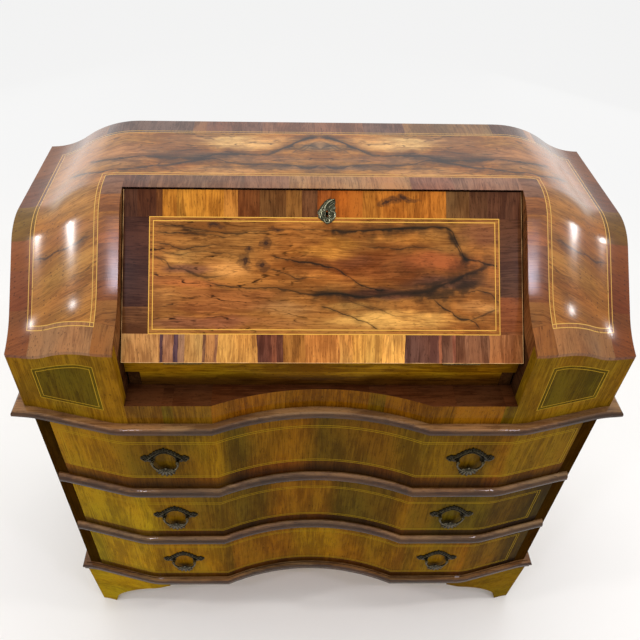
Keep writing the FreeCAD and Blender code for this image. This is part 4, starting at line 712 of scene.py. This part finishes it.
print("drawer fronts")
gold, oliveGold, olive, darkOlive, redGold = "#86620c", "#75560c", "#64490c", "#55400c", "#78500c"
drawerLook = {
    "upper": {"frame": (-450, 455, 567, 662), "low": 528, "leaves": [
        (-470, gold), (-373, oliveGold), (-340, olive), (-217, oliveGold), (-191, gold), (-168, darkOlive),
        (-117, redGold), (-11, darkOlive), (36, "#5f430c"), (130, olive), (188, oliveGold), (230, olive),
        (316, redGold), (335, oliveGold), (446, olive)]},
    # painted light and shade: in the middle and lower drawers the leaves at the left end are lighter as
    # painted light, and the last leaves at the right end darker as painted shade
    "middle": {"frame": (-440, 440, 381, 473), "low": 355, "leaves": [
        (-470, "#8a700c"), (-366, "#96760e"), (-310, oliveGold), (-232, olive), (-150, darkOlive),
        (-84, redGold), (36, darkOlive), (166, "#75500c"), (187, olive), (233, "#55450c"), (339, "#4c390a"),
        (425, "#3a2c08")]},
    "lower": {"frame": (-440, 440, 202, 307), "low": 179, "leaves": [
        (-470, "#84700c"), (-440, "#98760e"), (-324, oliveGold), (-309, gold), (-184, olive),
        (-170, redGold), (-34, gold), (55, "#78530c"), (177, redGold), (196, olive), (214, oliveGold),
        (315, redGold), (329, "#64470a"), (410, "#3f2e08")]},
}
drawerLine = {"spacing": 4.5, "half": 0.5, "colour": "#9b7c12"}
# waves in a metre, sway and blend of the leaves, the strip under the frame, and the foot with how dark it
# gets, as painted shade
drawerLeaf = {"noise": 14.0, "sway": 10, "blend": 16, "strip": (0.68, 0.50, 0.9), "foot": (34, 6),
              "dark": 0.3}
# Sliced walnut laid upright, matt polish: olive and gold leaves that run into each other
for name, look in drawerLook.items():
    material, tree = newMaterial("walnut_veneer_drawer_" + name)
    x, y, z = objectPlace(tree)[1]
    flat = addNode(tree, "CombineXYZ", {0: x, 1: z, 2: 0.0})
    far = addNode(tree, "Group", {"Place": flat, **frameSpan(*look["frame"])}, node_tree=outside)
    lines = addNode(tree, "Group", {"Distance": far, "Spacing": drawerLine["spacing"] * mm,
                                    "Half": drawerLine["half"] * mm}, node_tree=stringing)
    sway = addNode(tree, "TexNoise", {"Vector": flat, "Scale": drawerLeaf["noise"], "Detail": 2.0})
    along = shakeLine(tree, x, sway, drawerLeaf["sway"])
    leaf = leafRamp(tree, along, -470, 470, look["leaves"], blend=drawerLeaf["blend"])
    strip = addNode(tree, "Math LESS_THAN", {0: z, 1: (look["frame"][2] - drawerLine["spacing"]) * mm})
    browner = addNode(tree, "VectorMath MULTIPLY", {0: leaf, 1: drawerLeaf["strip"]})
    base = layOver(tree, leaf, [(strip, browner)])
    high, low = [(look["low"] + rise) * mm for rise in drawerLeaf["foot"]]
    # painted shade: the front darkens towards its foot, next to the rail below
    foot = addNode(tree, "MapRange SMOOTHSTEP", {0: z, 1: high, 2: low, 3: 1.0, 4: drawerLeaf["dark"]})
    base = addNode(tree, "VectorMath SCALE", {0: base, "Scale": foot})
    grain = addNode(tree, "CombineXYZ", {0: z, 1: x, 2: y})
    finishWood(tree, grain, base, leaf=look["low"] * mm, wave=0.008, figure=0.7, polish=0.08, gloss=0.25,
               over=[(lines, drawerLine["colour"])])
    dress(material, "drawer_%s_front" % name)


print("shoulder panels")
panelLook = {"sides": (355, 463), "low": 750.5, "spacing": 6.0, "half": 0.6, "line": "#a5821e",
             "top": [(336, 853), (358, 851), (378, 850), (400, 844), (430, 832), (455, 820), (480, 812)],
             "frame": "#7a5a10", "field": "#544409"}
# Sliced walnut, matt polish: an olive field in a lighter frame, parted by two boxwood lines
material, tree = newMaterial("walnut_veneer_shoulder_panel")
x, y, z = objectPlace(tree)[1]
side = addNode(tree, "Math ABSOLUTE", {0: x})
course = drawnCourse(tree, side, (336, 480), (800, 900), panelLook["top"])
far = None
for first, second in ((side, panelLook["sides"][1] * mm), (panelLook["sides"][0] * mm, side),
                      (z, course), (panelLook["low"] * mm, z)):
    off = addNode(tree, "Math SUBTRACT", {0: first, 1: second})
    far = off if far is None else addNode(tree, "Math MAXIMUM", {0: far, 1: off})
inset = addNode(tree, "Math ADD", {0: far, 1: panelLook["spacing"] * mm})
lines = addNode(tree, "Group", {"Distance": inset, "Spacing": panelLook["spacing"] * mm,
                                "Half": panelLook["half"] * mm}, node_tree=stringing)
within = addNode(tree, "Math LESS_THAN", {0: far, 1: 0.0})
base = layOver(tree, panelLook["frame"], [(within, panelLook["field"])])
grain = addNode(tree, "CombineXYZ", {0: z, 1: x, 2: y})
finishWood(tree, grain, base, leaf=leafSeed(tree, base), figure=0.7, polish=0.06, gloss=0.25,
           over=[(lines, panelLook["line"])])
dress(material, "wing_panel_left", "wing_panel_right")


print("step block")
# Segmented walnut front under a dark top: leaves laid along the serpentine, thinly polished
stepLook = {"top": "#462714",
            "leaves": [(-320, "#6d4a10"), (-262, "#5f4a0c"), (-244, "#705010"), (-180, "#784c0c"),
                       (-60, "#704806"), (78, "#5f4406"), (107, "#6d4506"), (220, "#7a4f0a"),
                       (299, "#5c4a08")]}
material, tree = newMaterial("walnut_step")
x, y, z = objectPlace(tree)[1]
leaf = leafRamp(tree, x, -320, 320, stepLook["leaves"])
facing = addNode(tree, "SeparateXYZ", {0: addNode(tree, "NewGeometry").outputs["True Normal"]})
lying = addNode(tree, "Math GREATER_THAN", {0: facing.outputs[2], 1: 0.5})
base = layOver(tree, leaf, [(lying, stepLook["top"])])
lengthwise = addNode(tree, "CombineXYZ", {0: x, 1: y, 2: z})
upward = addNode(tree, "CombineXYZ", {0: z, 1: x, 2: y})
grain = addNode(tree, "Mix VECTOR", {0: lying, 4: upward, 5: lengthwise})
finishWood(tree, grain, base, leaf=leafSeed(tree, leaf), polish=0.12, gloss=0.15)
dress(material, "step_block")


print("solid walnut and other boards")
# Planed solid boards, some polished: straight pores and a quiet figure; the poplar is left bare.
# Name: colour, direction of the grain, wave, figure, polish, film roughness and the nodes that wear it
boards = {
    "walnut_stile": ("#2f1d04", "z", 0.004, 0.6, 0.0, 0.2, ("stile_left", "stile_right")),
    "walnut_case_side": ("#6b4424", "z", 0.02, 1.0, 0.5, 0.15,
                         ("chest_side_left", "chest_side_right", "desk_side_left", "desk_side_right")),
    # painted shade: the cheeks' walnut is darkened towards black in the recess beside the fall
    "walnut_cheek": ("#3a2212", "y", 0.006, 0.8, 0.15, 0.2, ("cheek_left", "cheek_right")),
    "walnut_bed": ("#7d5a0c", "x", 0.012, 1.0, 0.05, 0.2, ("writing_bed",)),
    # painted light: the left front foot is a lighter copy of the right one's walnut
    "walnut_foot_left_painted_light": ("#967a12", "x", 0.006, 0.6, 0.03, 0.2, ("foot_front_left",)),
    "walnut_foot_right": ("#6f560c", "x", 0.006, 0.6, 0.03, 0.2, ("foot_front_right",)),
    "walnut_foot_rear": ("#5f4416", "x", 0.006, 0.6, 0.03, 0.2, ("feet_rear",)),
    "walnut_nest": ("#7a4f2a", "x", 0.006, 0.8, 0.2, 0.2, ("nest_case",)),
    "walnut_loper": ("#3b2412", "y", 0.006, 0.8, 0.1, 0.2, ("loper_left", "loper_right")),
    "walnut_upright": ("#7a4f2a", "z", 0.006, 0.8, 0.2, 0.2, ("nest_uprights",)),
    "walnut_small_drawer": ("#8a5a2c", "x", 0.02, 1.0, 0.3, 0.2,
                            ("small_drawer_left", "small_drawer_centre", "small_drawer_right")),
    "poplar_carcase": ("#b08a5a", "x", 0.01, 0.4, 0.0, 0.2,
                       ("chest_back", "desk_back", "chest_bottom", "chest_top_board", "desk_floor",
                        "loper_guides")),
    "poplar_drawer": ("#b58f5e", "y", 0.008, 0.4, 0.0, 0.2,
                      ("drawer_lower_box", "drawer_middle_box", "drawer_upper_box", "drawer_runners")),
}
directions = {"x": (0, 1, 2), "y": (1, 0, 2), "z": (2, 0, 1)}
# Run mouldings and the front rail, with painted shade browning them below where no light falls, and on the
# mouldings painted
# light on the faces that look up. Name: upper and lower colour, where they meet (two heights, or else on how
# far a face looks up), polish, film roughness and wearers
shaded = {
    "walnut_moulding": ("#7f6040", "#3f2813", None, 0.7, 0.06,
                        ("top_moulding", "base_moulding", "divider_rail_lower", "divider_rail_upper")),
    "walnut_rail": ("#8e6a10", "#432809", (0.775, 0.800), 0.06, 0.2, ("front_rail",)),
}
for name, (upper, lower, meet, polish, gloss, wearers) in shaded.items():
    material, tree = newMaterial(name)
    place, (x, y, z) = objectPlace(tree)
    if meet:
        level = addNode(tree, "MapRange SMOOTHSTEP", {0: z, 1: meet[0], 2: meet[1]})
    else:
        facing = addNode(tree, "SeparateXYZ", {0: addNode(tree, "NewGeometry").outputs["Normal"]})
        level = addNode(tree, "MapRange SMOOTHSTEP", {0: facing.outputs[2], 1: 0.55, 2: 0.97})
    # painted light and shade: lighter above and on faces that look up, darker below
    base = layOver(tree, lower, [(level, upper)])
    finishWood(tree, place, base, wave=0.008, figure=0.9, polish=polish, gloss=gloss)
    dress(material, *wearers)
for name, (colour, way, wave, figure, polish, gloss, wearers) in boards.items():
    material, tree = newMaterial(name)
    spots = objectPlace(tree)[1]
    grain = addNode(tree, "CombineXYZ", {k: spots[axis] for k, axis in enumerate(directions[way])})
    finishWood(tree, grain, colour, wave=wave, figure=figure, polish=polish, gloss=gloss)
    dress(material, *wearers)


print("metal and leather")
# Cast brass and forged iron, brown with age in the hollows, and on the pulls and escutcheon rubbed bright on
# the raised parts, which also paints a highlight onto their ridges. Name: hollow colour, worn and painted
# highlight colour, roughness, the heights in millimetres between them, and the wearers
metals = {
    "brass_antique": ("#2a2114", "#7d683f", 0.36, None, ("hinge_leaves_bed", "hinge_leaves_fall")),
    "brass_pull_plate": ("#151108", "#4e4733", 0.34, (-216.9, -219.3), ()),
    "brass_pull_bail": ("#151108", "#857c64", 0.32, (-223.9, -226.0), ()),
    "brass_escutcheon": ("#16190f", "#b9b694", 0.30, (23.2, 24.4), ()),
    "iron_worn": ("#1b1a19", "#57544f", 0.45, None, ("strike_plate", "lock_case", "lock_bolt")),
}
finishes = {}
for name, (hollow, bright, rough, heights, wearers) in metals.items():
    material, tree = newMaterial(name)
    place, spots = objectPlace(tree)
    patina = addNode(tree, "TexNoise", {"Vector": place, "Scale": 240.0, "Detail": 4.0})
    crevice = addNode(tree, "AmbientOcclusion", {"Distance": 0.003})
    crevice = addNode(tree, "MapRange", {0: crevice.outputs["AO"], 1: 0.5, 2: 1.0, 3: -0.35, 4: 0.1})
    wearAndHighlight = addNode(tree, "Math ADD", {0: patina, 1: crevice})
    wearAndHighlight = addNode(tree, "MapRange", {0: wearAndHighlight, 1: 0.30, 2: 0.75})
    if heights:
        out = mapFall(tree)[1][2] if name == "brass_escutcheon" else spots[1]
        # rubbed wear and painted highlight: the raised parts are brighter
        rubAndHighlight = addNode(tree, "MapRange", {0: out, 1: heights[0] * mm, 2: heights[1] * mm, 3: 0.15, 4: 1.3})
        wearAndHighlight = addNode(tree, "Math MULTIPLY", {0: wearAndHighlight, 1: rubAndHighlight}, use_clamp=True)
    tint = addNode(tree, "Mix RGBA", {0: wearAndHighlight, 6: hollow, 7: bright})
    relief = addNode(tree, "Bump", {"Height": patina, "Strength": 0.25, "Distance": 0.0003})
    shine = addNode(tree, "BsdfPrincipled", {"Base Color": tint, "Metallic": 1.0, "Roughness": rough,
                                             "Normal": relief})
    addNode(tree, "OutputMaterial", {0: shine})
    dress(material, *wearers)
    finishes[name] = material

# Goatskin let into the fall, tanned and waxed: a pebbled grain that takes a soft shine
material, tree = newMaterial("leather_goatskin")
flat = mapFall(tree)[0]
pebble = addNode(tree, "TexVoronoi", {"Vector": flat, "Scale": 420.0}, feature="SMOOTH_F1")
wear = addNode(tree, "TexNoise", {"Vector": flat, "Scale": 9.0, "Detail": 3.0})
hide = addNode(tree, "Mix RGBA", {0: wear, 6: "#4a2a17", 7: "#6a3d20"})
relief = addNode(tree, "Bump", {"Height": pebble, "Strength": 0.4, "Distance": 0.0005})
skin = addNode(tree, "BsdfPrincipled", {"Base Color": hide, "Roughness": 0.5, "Normal": relief})
addNode(tree, "OutputMaterial", {0: skin})
dress(material, "writing_skin")


print("castings")


def castStrokes(shape, strokes, lift, squat=1.0):
    # smooth round ridges through points (across, up, radius), at a height over the plate; a stroke
    # that starts and ends at one point is a ring
    drawn = bpy.data.curves.new("strokes", "CURVE")
    drawn.dimensions = "3D"
    drawn.bevel_depth = 1.0
    drawn.bevel_resolution = 2
    drawn.resolution_u = 4
    drawn.use_fill_caps = True
    for points in strokes:
        ring = points[0] == points[-1]
        line = drawn.splines.new("BEZIER")
        line.use_cyclic_u = ring
        points = points[:-1] if ring else points
        line.bezier_points.add(len(points) - 1)
        for knot, (x, y, radius) in zip(line.bezier_points, points):
            knot.co = (x, y, 0)
            knot.radius = radius
            knot.handle_left_type = knot.handle_right_type = "AUTO"
    holder = bpy.data.objects.new("strokes", drawn)
    mesh = bpy.data.meshes.new_from_object(holder)
    mesh.transform(Matrix.Translation((0, 0, lift)) @ Matrix.Diagonal((1, 1, squat, 1)))
    shape.from_mesh(mesh)
    bpy.data.objects.remove(holder)
    bpy.data.curves.remove(drawn)
    bpy.data.meshes.remove(mesh)


def addPlate(shape, outlines, low, high, ease):
    # a cast plate between two heights, with its first outline around the others, and its front edge eased
    edges = []
    for outline in outlines:
        ring = [shape.verts.new((x, y, low)) for x, y in outline]
        edges += [shape.edges.new(pair) for pair in zip(ring, ring[1:] + ring[:1])]
    faces = [item for item in bmesh.ops.triangle_fill(shape, edges=edges, use_beauty=True)["geom"]
             if isinstance(item, bmesh.types.BMFace)]
    bmesh.ops.recalc_face_normals(shape, faces=faces)
    for face in faces:
        if face.normal.z > 0:
            face.normal_flip()
    raised = bmesh.ops.extrude_face_region(shape, geom=faces, use_keep_orig=True)["geom"]
    tops = [item for item in raised if isinstance(item, bmesh.types.BMVert)]
    bmesh.ops.translate(shape, vec=(0, 0, high - low), verts=tops)
    rim = [edge for edge in raised if isinstance(edge, bmesh.types.BMEdge) and len(edge.link_faces) == 2
           and edge.calc_face_angle() > 1.2]
    bmesh.ops.bevel(shape, geom=rim, offset=ease, offset_type="OFFSET", segments=2, profile=0.5,
                    affect="EDGES", clamp_overlap=True, material=-1)


def addBall(shape, centre, radius, squat=1.0):
    grown = bmesh.ops.create_uvsphere(shape, u_segments=12, v_segments=8, radius=radius)["verts"]
    bmesh.ops.scale(shape, vec=(1, 1, squat), verts=grown)
    bmesh.ops.translate(shape, vec=centre, verts=grown)


def mirroredPoints(points):
    return [(-x, y, *rest) for x, y, *rest in points]


def finishPiece(name, shape, material, body, replaced):
    bmesh.ops.recalc_face_normals(shape, faces=shape.faces)
    mesh = bpy.data.meshes.new(name)
    shape.to_mesh(mesh)
    shape.free()
    mesh.polygons.foreach_set("use_smooth", [True] * len(mesh.polygons))
    mesh.materials.append(material)
    piece = bpy.data.objects.new(name, mesh)
    scene.collection.objects.link(piece)
    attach(piece, body)
    if replaced:
        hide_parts(replaced)
    return piece


# Cast pull, in millimetres from the middle between its posts: right half of the outline, then the
# ridges as (across, up, radius). Heights run out of the drawer front.
pullLook = {
    "base": 0.0, "face": 1.7, "ease": 0.35, "postHalf": 22.2,
    "outline": [(0, 35), (2.2, 33.2), (3.2, 30.2), (5.4, 31.8), (8.2, 31.2), (9.2, 28), (12, 28.8),
                (14.6, 27.2), (14.9, 23.8), (18.2, 24), (20.6, 21.6), (20.6, 18.2), (24, 18.4),
                (26.6, 15.6), (26.4, 12.4), (29.6, 13.2), (31.6, 11), (33, 13.6), (36.2, 13.6), (38.2, 11),
                (41.6, 9.4), (43, 5.4), (41.6, 1.2), (38, -0.6), (37.6, -3.4), (34.2, -4.6), (31, -3),
                (28.6, -4.8), (25, -4.8), (21.6, -4.9), (19.2, -3.4), (18.6, 0.6), (18.2, 4.2), (16.4, 8.8),
                (13.2, 12.8), (9.2, 16.2), (4.8, 18.6), (0, 19.6)],
    "ridges": [
        [(36.2, 4.4, 0.8), (37.6, 6.2, 1.1), (39.6, 5.4, 1.3), (39.8, 2.8, 1.4), (37.2, 1.0, 1.5),
         (33.4, 1.6, 1.6), (29.6, 4.6, 1.8), (25, 9.4, 1.9), (20.4, 14, 1.8), (15, 19, 1.7),
         (9.6, 23.4, 1.6), (4.6, 26.6, 1.3), (0.6, 27.6, 0.9)],
        [(20.2, -2.8, 1.0), (19.9, 1, 1.1), (19.4, 5, 1.2), (17.4, 9.8, 1.2), (14, 14, 1.2),
         (9.8, 17.6, 1.2), (5, 20.2, 1.2), (0, 21.2, 1.2)],
        [(24.4, 5.6, 0.8), (21.8, 11, 1.2), (17.2, 16, 1.3), (12, 20, 1.3), (6.6, 22.8, 1.2),
         (1.4, 23.8, 0.8)],
        [(31, 4.6, 1.3), (32.6, 7.6, 1.3), (34.6, 11.4, 0.5)],
        [(34.6, 3, 1.2), (38, 8.4, 1.1), (40.6, 7.6, 0.5)],
        [(26.6, 9, 1.4), (28.4, 10.6, 1.1), (31, 10.8, 0.4)],
        [(22.4, 13.2, 1.4), (24, 15.2, 1.1), (25.6, 16, 0.4)],
        [(17.6, 18, 1.3), (18.6, 20.4, 1.1), (19.2, 22.2, 0.4)],
        [(12, 22.4, 1.3), (13, 25, 1.1), (13.6, 27.2, 0.4)],
        [(6.8, 26, 1.2), (7.4, 28.4, 1.0), (7.2, 30.4, 0.4)],
        [(0, 22.6, 1.0), (0, 28, 1.9), (0, 34.2, 0.5)],
        [(1.2, 24, 0.8), (3, 28, 1.1), (3.4, 31, 0.4)],
        [(31.6, 0.4, 1.2), (33.4, -2.2, 1.0), (35.6, -3.4, 0.4)],
        [(28, 3.4, 1.2), (26.6, -0.6, 1.1), (27.6, -3.6, 0.4)],
        [(24, 5, 1.1), (22, 0.6, 1.2), (22, -3.6, 0.5)],
        [(8.6, 22.6, 0.9), (5, 24.4, 0.7), (2.6, 23.4, 0.5)],
    ],
    "post": {"foot": 4.4, "radius": 2.6, "ball": 3.4, "out": 7.5},
    "beads": {"count": 7, "first": 0.12, "side": 21.2, "foot": 1, "rise": 24.2, "radius": 0.75},
}
bailLook = {
    "axis": 7.5, "half": 22.5, "corner": 3.0,
    "arm": [(21.6, 1.6, 1.5), (22.4, -0.8, 1.9), (22.6, -3.2, 2.0)],
    "bow": [(-12, 1.9), (-30, 1.8), (-48, 2.0), (-66, 1.9), (-90, 1.8)],    # degrees and radius
    "knuckles": [(21.9, -1.6, 2.1), (17.236, -17.463, 2.15)],
    "scroll": [(6.4, -21.4, 0.9), (9.4, -18.8, 1.2), (12.2, -19.4, 1.3), (12.6, -22.2, 1.2),
               (10.6, -23.2, 0.9), (9.6, -21.8, 0.7)],
    "shell": {"hub": -15.0, "rays": 7, "from": -162, "to": -18, "reach": 24, "side": 14.0, "drop": 24.0,
              "rise": 2.2, "boss": 2.2, "wall": 1.1},
}


def stand(shape, centreX, centreZ):
    # from millimetres on the drawer front to metres where the pull hangs
    place = Matrix(((mm, 0, 0, centreX * mm), (0, 0, -mm, drawerFace * mm), (0, mm, 0, centreZ * mm),
                    (0, 0, 0, 1)))
    bmesh.ops.transform(shape, matrix=place, verts=shape.verts)
    return shape


def growPlate(centreX, centreZ):
    shape = bmesh.new()
    half = pullLook["outline"]
    addPlate(shape, [half + mirroredPoints(half[1:-1])[::-1]], pullLook["base"], pullLook["face"],
             pullLook["ease"])
    castStrokes(shape, pullLook["ridges"] + [mirroredPoints(ridge) for ridge in pullLook["ridges"]],
                pullLook["face"], squat=0.85)
    post = pullLook["post"]
    beads = pullLook["beads"]
    for way in (-1, 1):
        for k in range(beads["count"]):
            turn = pi / 2 * (beads["first"] + (1 - beads["first"]) * k / (beads["count"] - 1))
            addBall(shape, (way * beads["side"] * cos(turn), beads["foot"] + beads["rise"] * sin(turn),
                            pullLook["face"] + 0.2), beads["radius"])
        centre = way * pullLook["postHalf"]
        addBall(shape, (centre, 0, pullLook["face"]), post["foot"], 0.4)
        stem = bmesh.ops.create_cone(shape, cap_ends=True, segments=16, radius1=post["radius"] + 0.6,
                                     radius2=post["radius"], depth=post["out"] - pullLook["face"])["verts"]
        bmesh.ops.translate(shape, vec=(centre, 0, (post["out"] + pullLook["face"]) / 2), verts=stem)
        addBall(shape, (centre, 0, post["out"]), post["ball"])
    return stand(shape, centreX, centreZ)


def growBail(centreX, centreZ):
    shape = bmesh.new()
    corner, half, axis = bailLook["corner"], bailLook["half"], bailLook["axis"]
    bow = [(half * cos(radians(turn)), half * sin(radians(turn)) - corner, radius)
           for turn, radius in bailLook["bow"]]
    side = bailLook["arm"] + bow
    castStrokes(shape, [side + mirroredPoints(side[:-1])[::-1]], axis)
    castStrokes(shape, [bailLook["scroll"], mirroredPoints(bailLook["scroll"])], axis + 0.7)
    for way in (-1, 1):
        for x, y, radius in bailLook["knuckles"]:
            addBall(shape, (way * x, y, axis), radius)
    growShell(shape, bailLook["shell"], axis)
    return stand(shape, centreX, centreZ)


def growShell(shape, look, axis):
    # a fluted shell: one ray spun round its hub, then drawn out into round lobes
    line = [shape.verts.new((look["reach"] * k / 8, look["hub"], axis - 0.9)) for k in range(9)]
    edges = [shape.edges.new(pair) for pair in zip(line, line[1:])]
    bmesh.ops.rotate(shape, verts=line, cent=(0, look["hub"], 0),
                     matrix=Matrix.Rotation(radians(look["to"]), 3, "Z"))
    before = set(shape.faces)
    bmesh.ops.spin(shape, geom=line + edges, cent=(0, look["hub"], 0), axis=(0, 0, 1), steps=look["rays"] * 6,
                   angle=radians(look["from"] - look["to"]), use_merge=False, use_duplicate=False)
    faces = [face for face in shape.faces if face not in before]
    spread = {vert for face in faces for vert in face.verts}
    for vert in spread:
        x, y = vert.co.x, vert.co.y - look["hub"]
        out = Vector((x, y)).length / look["reach"]
        turn = atan2(y, x)
        share = (turn - radians(look["from"])) / radians(look["to"] - look["from"])
        lobe = abs(sin(pi * share * look["rays"]))
        reach = look["side"] + (look["drop"] - look["side"]) * abs(sin(turn)) ** 0.7
        reach *= 0.86 + 0.14 * lobe ** 0.5
        lift = 0.7 * look["rise"] * sin(pi * min(out * 0.9 + 0.08, 1)) + 1.8 * lobe * out ** 0.6
        vert.co = (reach * out * cos(turn), look["hub"] + reach * out * sin(turn), vert.co.z + lift)
    bmesh.ops.remove_doubles(shape, verts=list(spread), dist=0.02)
    faces = [face for face in faces if face.is_valid]
    bmesh.ops.recalc_face_normals(shape, faces=faces)
    for face in faces:
        if face.normal.z < 0:
            face.normal_flip()
    bmesh.ops.solidify(shape, geom=faces, thickness=look["wall"])
    addBall(shape, (0, look["hub"] - 0.6, axis + 0.8), look["boss"], 0.8)


drawerFace, pullSpread = -215.5, 270
pullPlaces = {"lower": 258.5, "middle": 433.0, "upper": 617.5}
for level, height in pullPlaces.items():
    both = bmesh.new()
    for way in (-1, 1):
        plate = growPlate(way * pullSpread, height)
        mesh = bpy.data.meshes.new("plate_half")
        plate.to_mesh(mesh)
        plate.free()
        both.from_mesh(mesh)
        bpy.data.meshes.remove(mesh)
    finishPiece("pull_castings_" + level, both, finishes["brass_pull_plate"], "drawer_" + level,
                "pull_plates_" + level)
    for way, word in ((-1, "left"), (1, "right")):
        body = "bail_%s_%s" % (level, word)
        finishPiece("pull_" + body, growBail(way * pullSpread, height), finishes["brass_pull_bail"], body,
                    body)

# Rococo escutcheon, in millimetres across the fall and up its slope, ridges as (across, up, radius)
escutcheonLook = {
    "low": 22.0, "face": 23.1, "ease": 0.3,     # the fall's outer face is at 22
    "outline": [(5.4, 220.4), (9.5, 222.6), (13, 224.4), (16.6, 228), (19.2, 233), (19.9, 238.4),
                (17.6, 242.6), (19.2, 246.6), (17.4, 251), (18.8, 255.6), (17.8, 262), (14.2, 260.6),
                (10.2, 262.2), (5.6, 260.4), (1.6, 257.6), (-1.4, 253.4), (-4.6, 250.4), (-6.2, 246),
                (-9.4, 243), (-10, 238.2), (-8.4, 235), (-9.2, 231.6), (-5.4, 229), (-2.4, 225.8),
                (1.4, 223.8)],
    "keyhole": [(3.7, 232.6), (5.2, 231.8), (6.7, 232.6), (7.3, 234.6), (6.9, 237.6), (6.9, 241.4),
                (6.3, 242.8), (5.2, 243.4), (4.1, 242.8), (3.5, 241.4), (3.5, 237.6), (3.1, 234.6)],
    "ridges": [
        [(0.6, 241, 0.7), (0.8, 245, 1.2), (3, 250.6, 1.5), (6.4, 255.4, 1.6), (10.8, 258.8, 1.5),
         (15, 260.6, 1.1), (17.4, 261.2, 0.6)],
        [(-1.6, 231, 0.6), (-3.6, 236.4, 1.1), (-4, 242.6, 1.2), (-1.6, 249, 1.2), (2.4, 254.6, 1.1),
         (6.6, 258.6, 0.5)],
        [(-7.4, 232.4, 0.6), (-7.4, 237.6, 1.1), (-6.2, 242, 1.1), (-3.2, 247.4, 0.6)],
        [(-4.8, 229.6, 0.6), (-5.4, 233.4, 0.9), (-5, 238, 0.6)],
        [(13.4, 246.4, 0.6), (11.2, 243.8, 1.0), (12.4, 241.2, 1.1), (15.6, 240.8, 1.2), (17.8, 237.4, 1.3),
         (17.2, 232.6, 1.3), (14, 229.2, 1.3), (10.2, 229.6, 1.1), (9.2, 232.8, 1.0), (11.2, 235, 0.9),
         (13.4, 233.8, 0.8)],
        [(8.6, 247.2, 0.7), (10.6, 250.6, 1.1), (14, 252.6, 1.1), (16.8, 255.6, 0.5)],
        [(9.4, 252.4, 0.6), (12.2, 255.6, 1.0), (16.2, 257.8, 0.5)],
        [(14, 245.6, 0.6), (16.4, 247.2, 1.0), (17.2, 244.6, 0.6)],
        [(0.4, 230.4, 0.6), (1.2, 226.4, 1.1), (4.6, 223.2, 1.3), (8.4, 224.6, 1.2), (8.6, 228.2, 1.1),
         (5.8, 229.6, 1.0), (3.8, 227.8, 0.9), (5.2, 226.2, 1.0)],
        [(10.6, 225.6, 0.6), (13.4, 227, 0.9), (15.6, 229.8, 0.5)],
    ],
    "collar": [(5.2, 230.8, 0.6), (8.0, 232.4, 0.7), (8.4, 236.6, 0.7), (7.9, 241.8, 0.7),
               (5.2, 244.8, 0.7), (2.5, 241.8, 0.7), (2.0, 236.6, 0.7), (2.4, 232.4, 0.6),
               (5.2, 230.8, 0.6)],
}
shape = bmesh.new()
addPlate(shape, [escutcheonLook["outline"], escutcheonLook["keyhole"]], escutcheonLook["low"],
         escutcheonLook["face"], escutcheonLook["ease"])
castStrokes(shape, escutcheonLook["ridges"] + [escutcheonLook["collar"]], escutcheonLook["face"], squat=0.65)
place = (Matrix.Translation(fallLook["hinge"]) @ Matrix.Rotation(radians(fallLook["tilt"]), 4, "X")
         @ Matrix.Scale(mm, 4))
bmesh.ops.transform(shape, matrix=place, verts=shape.verts)
finishPiece("escutcheon_casting", shape, finishes["brass_escutcheon"], "fall", "escutcheon")
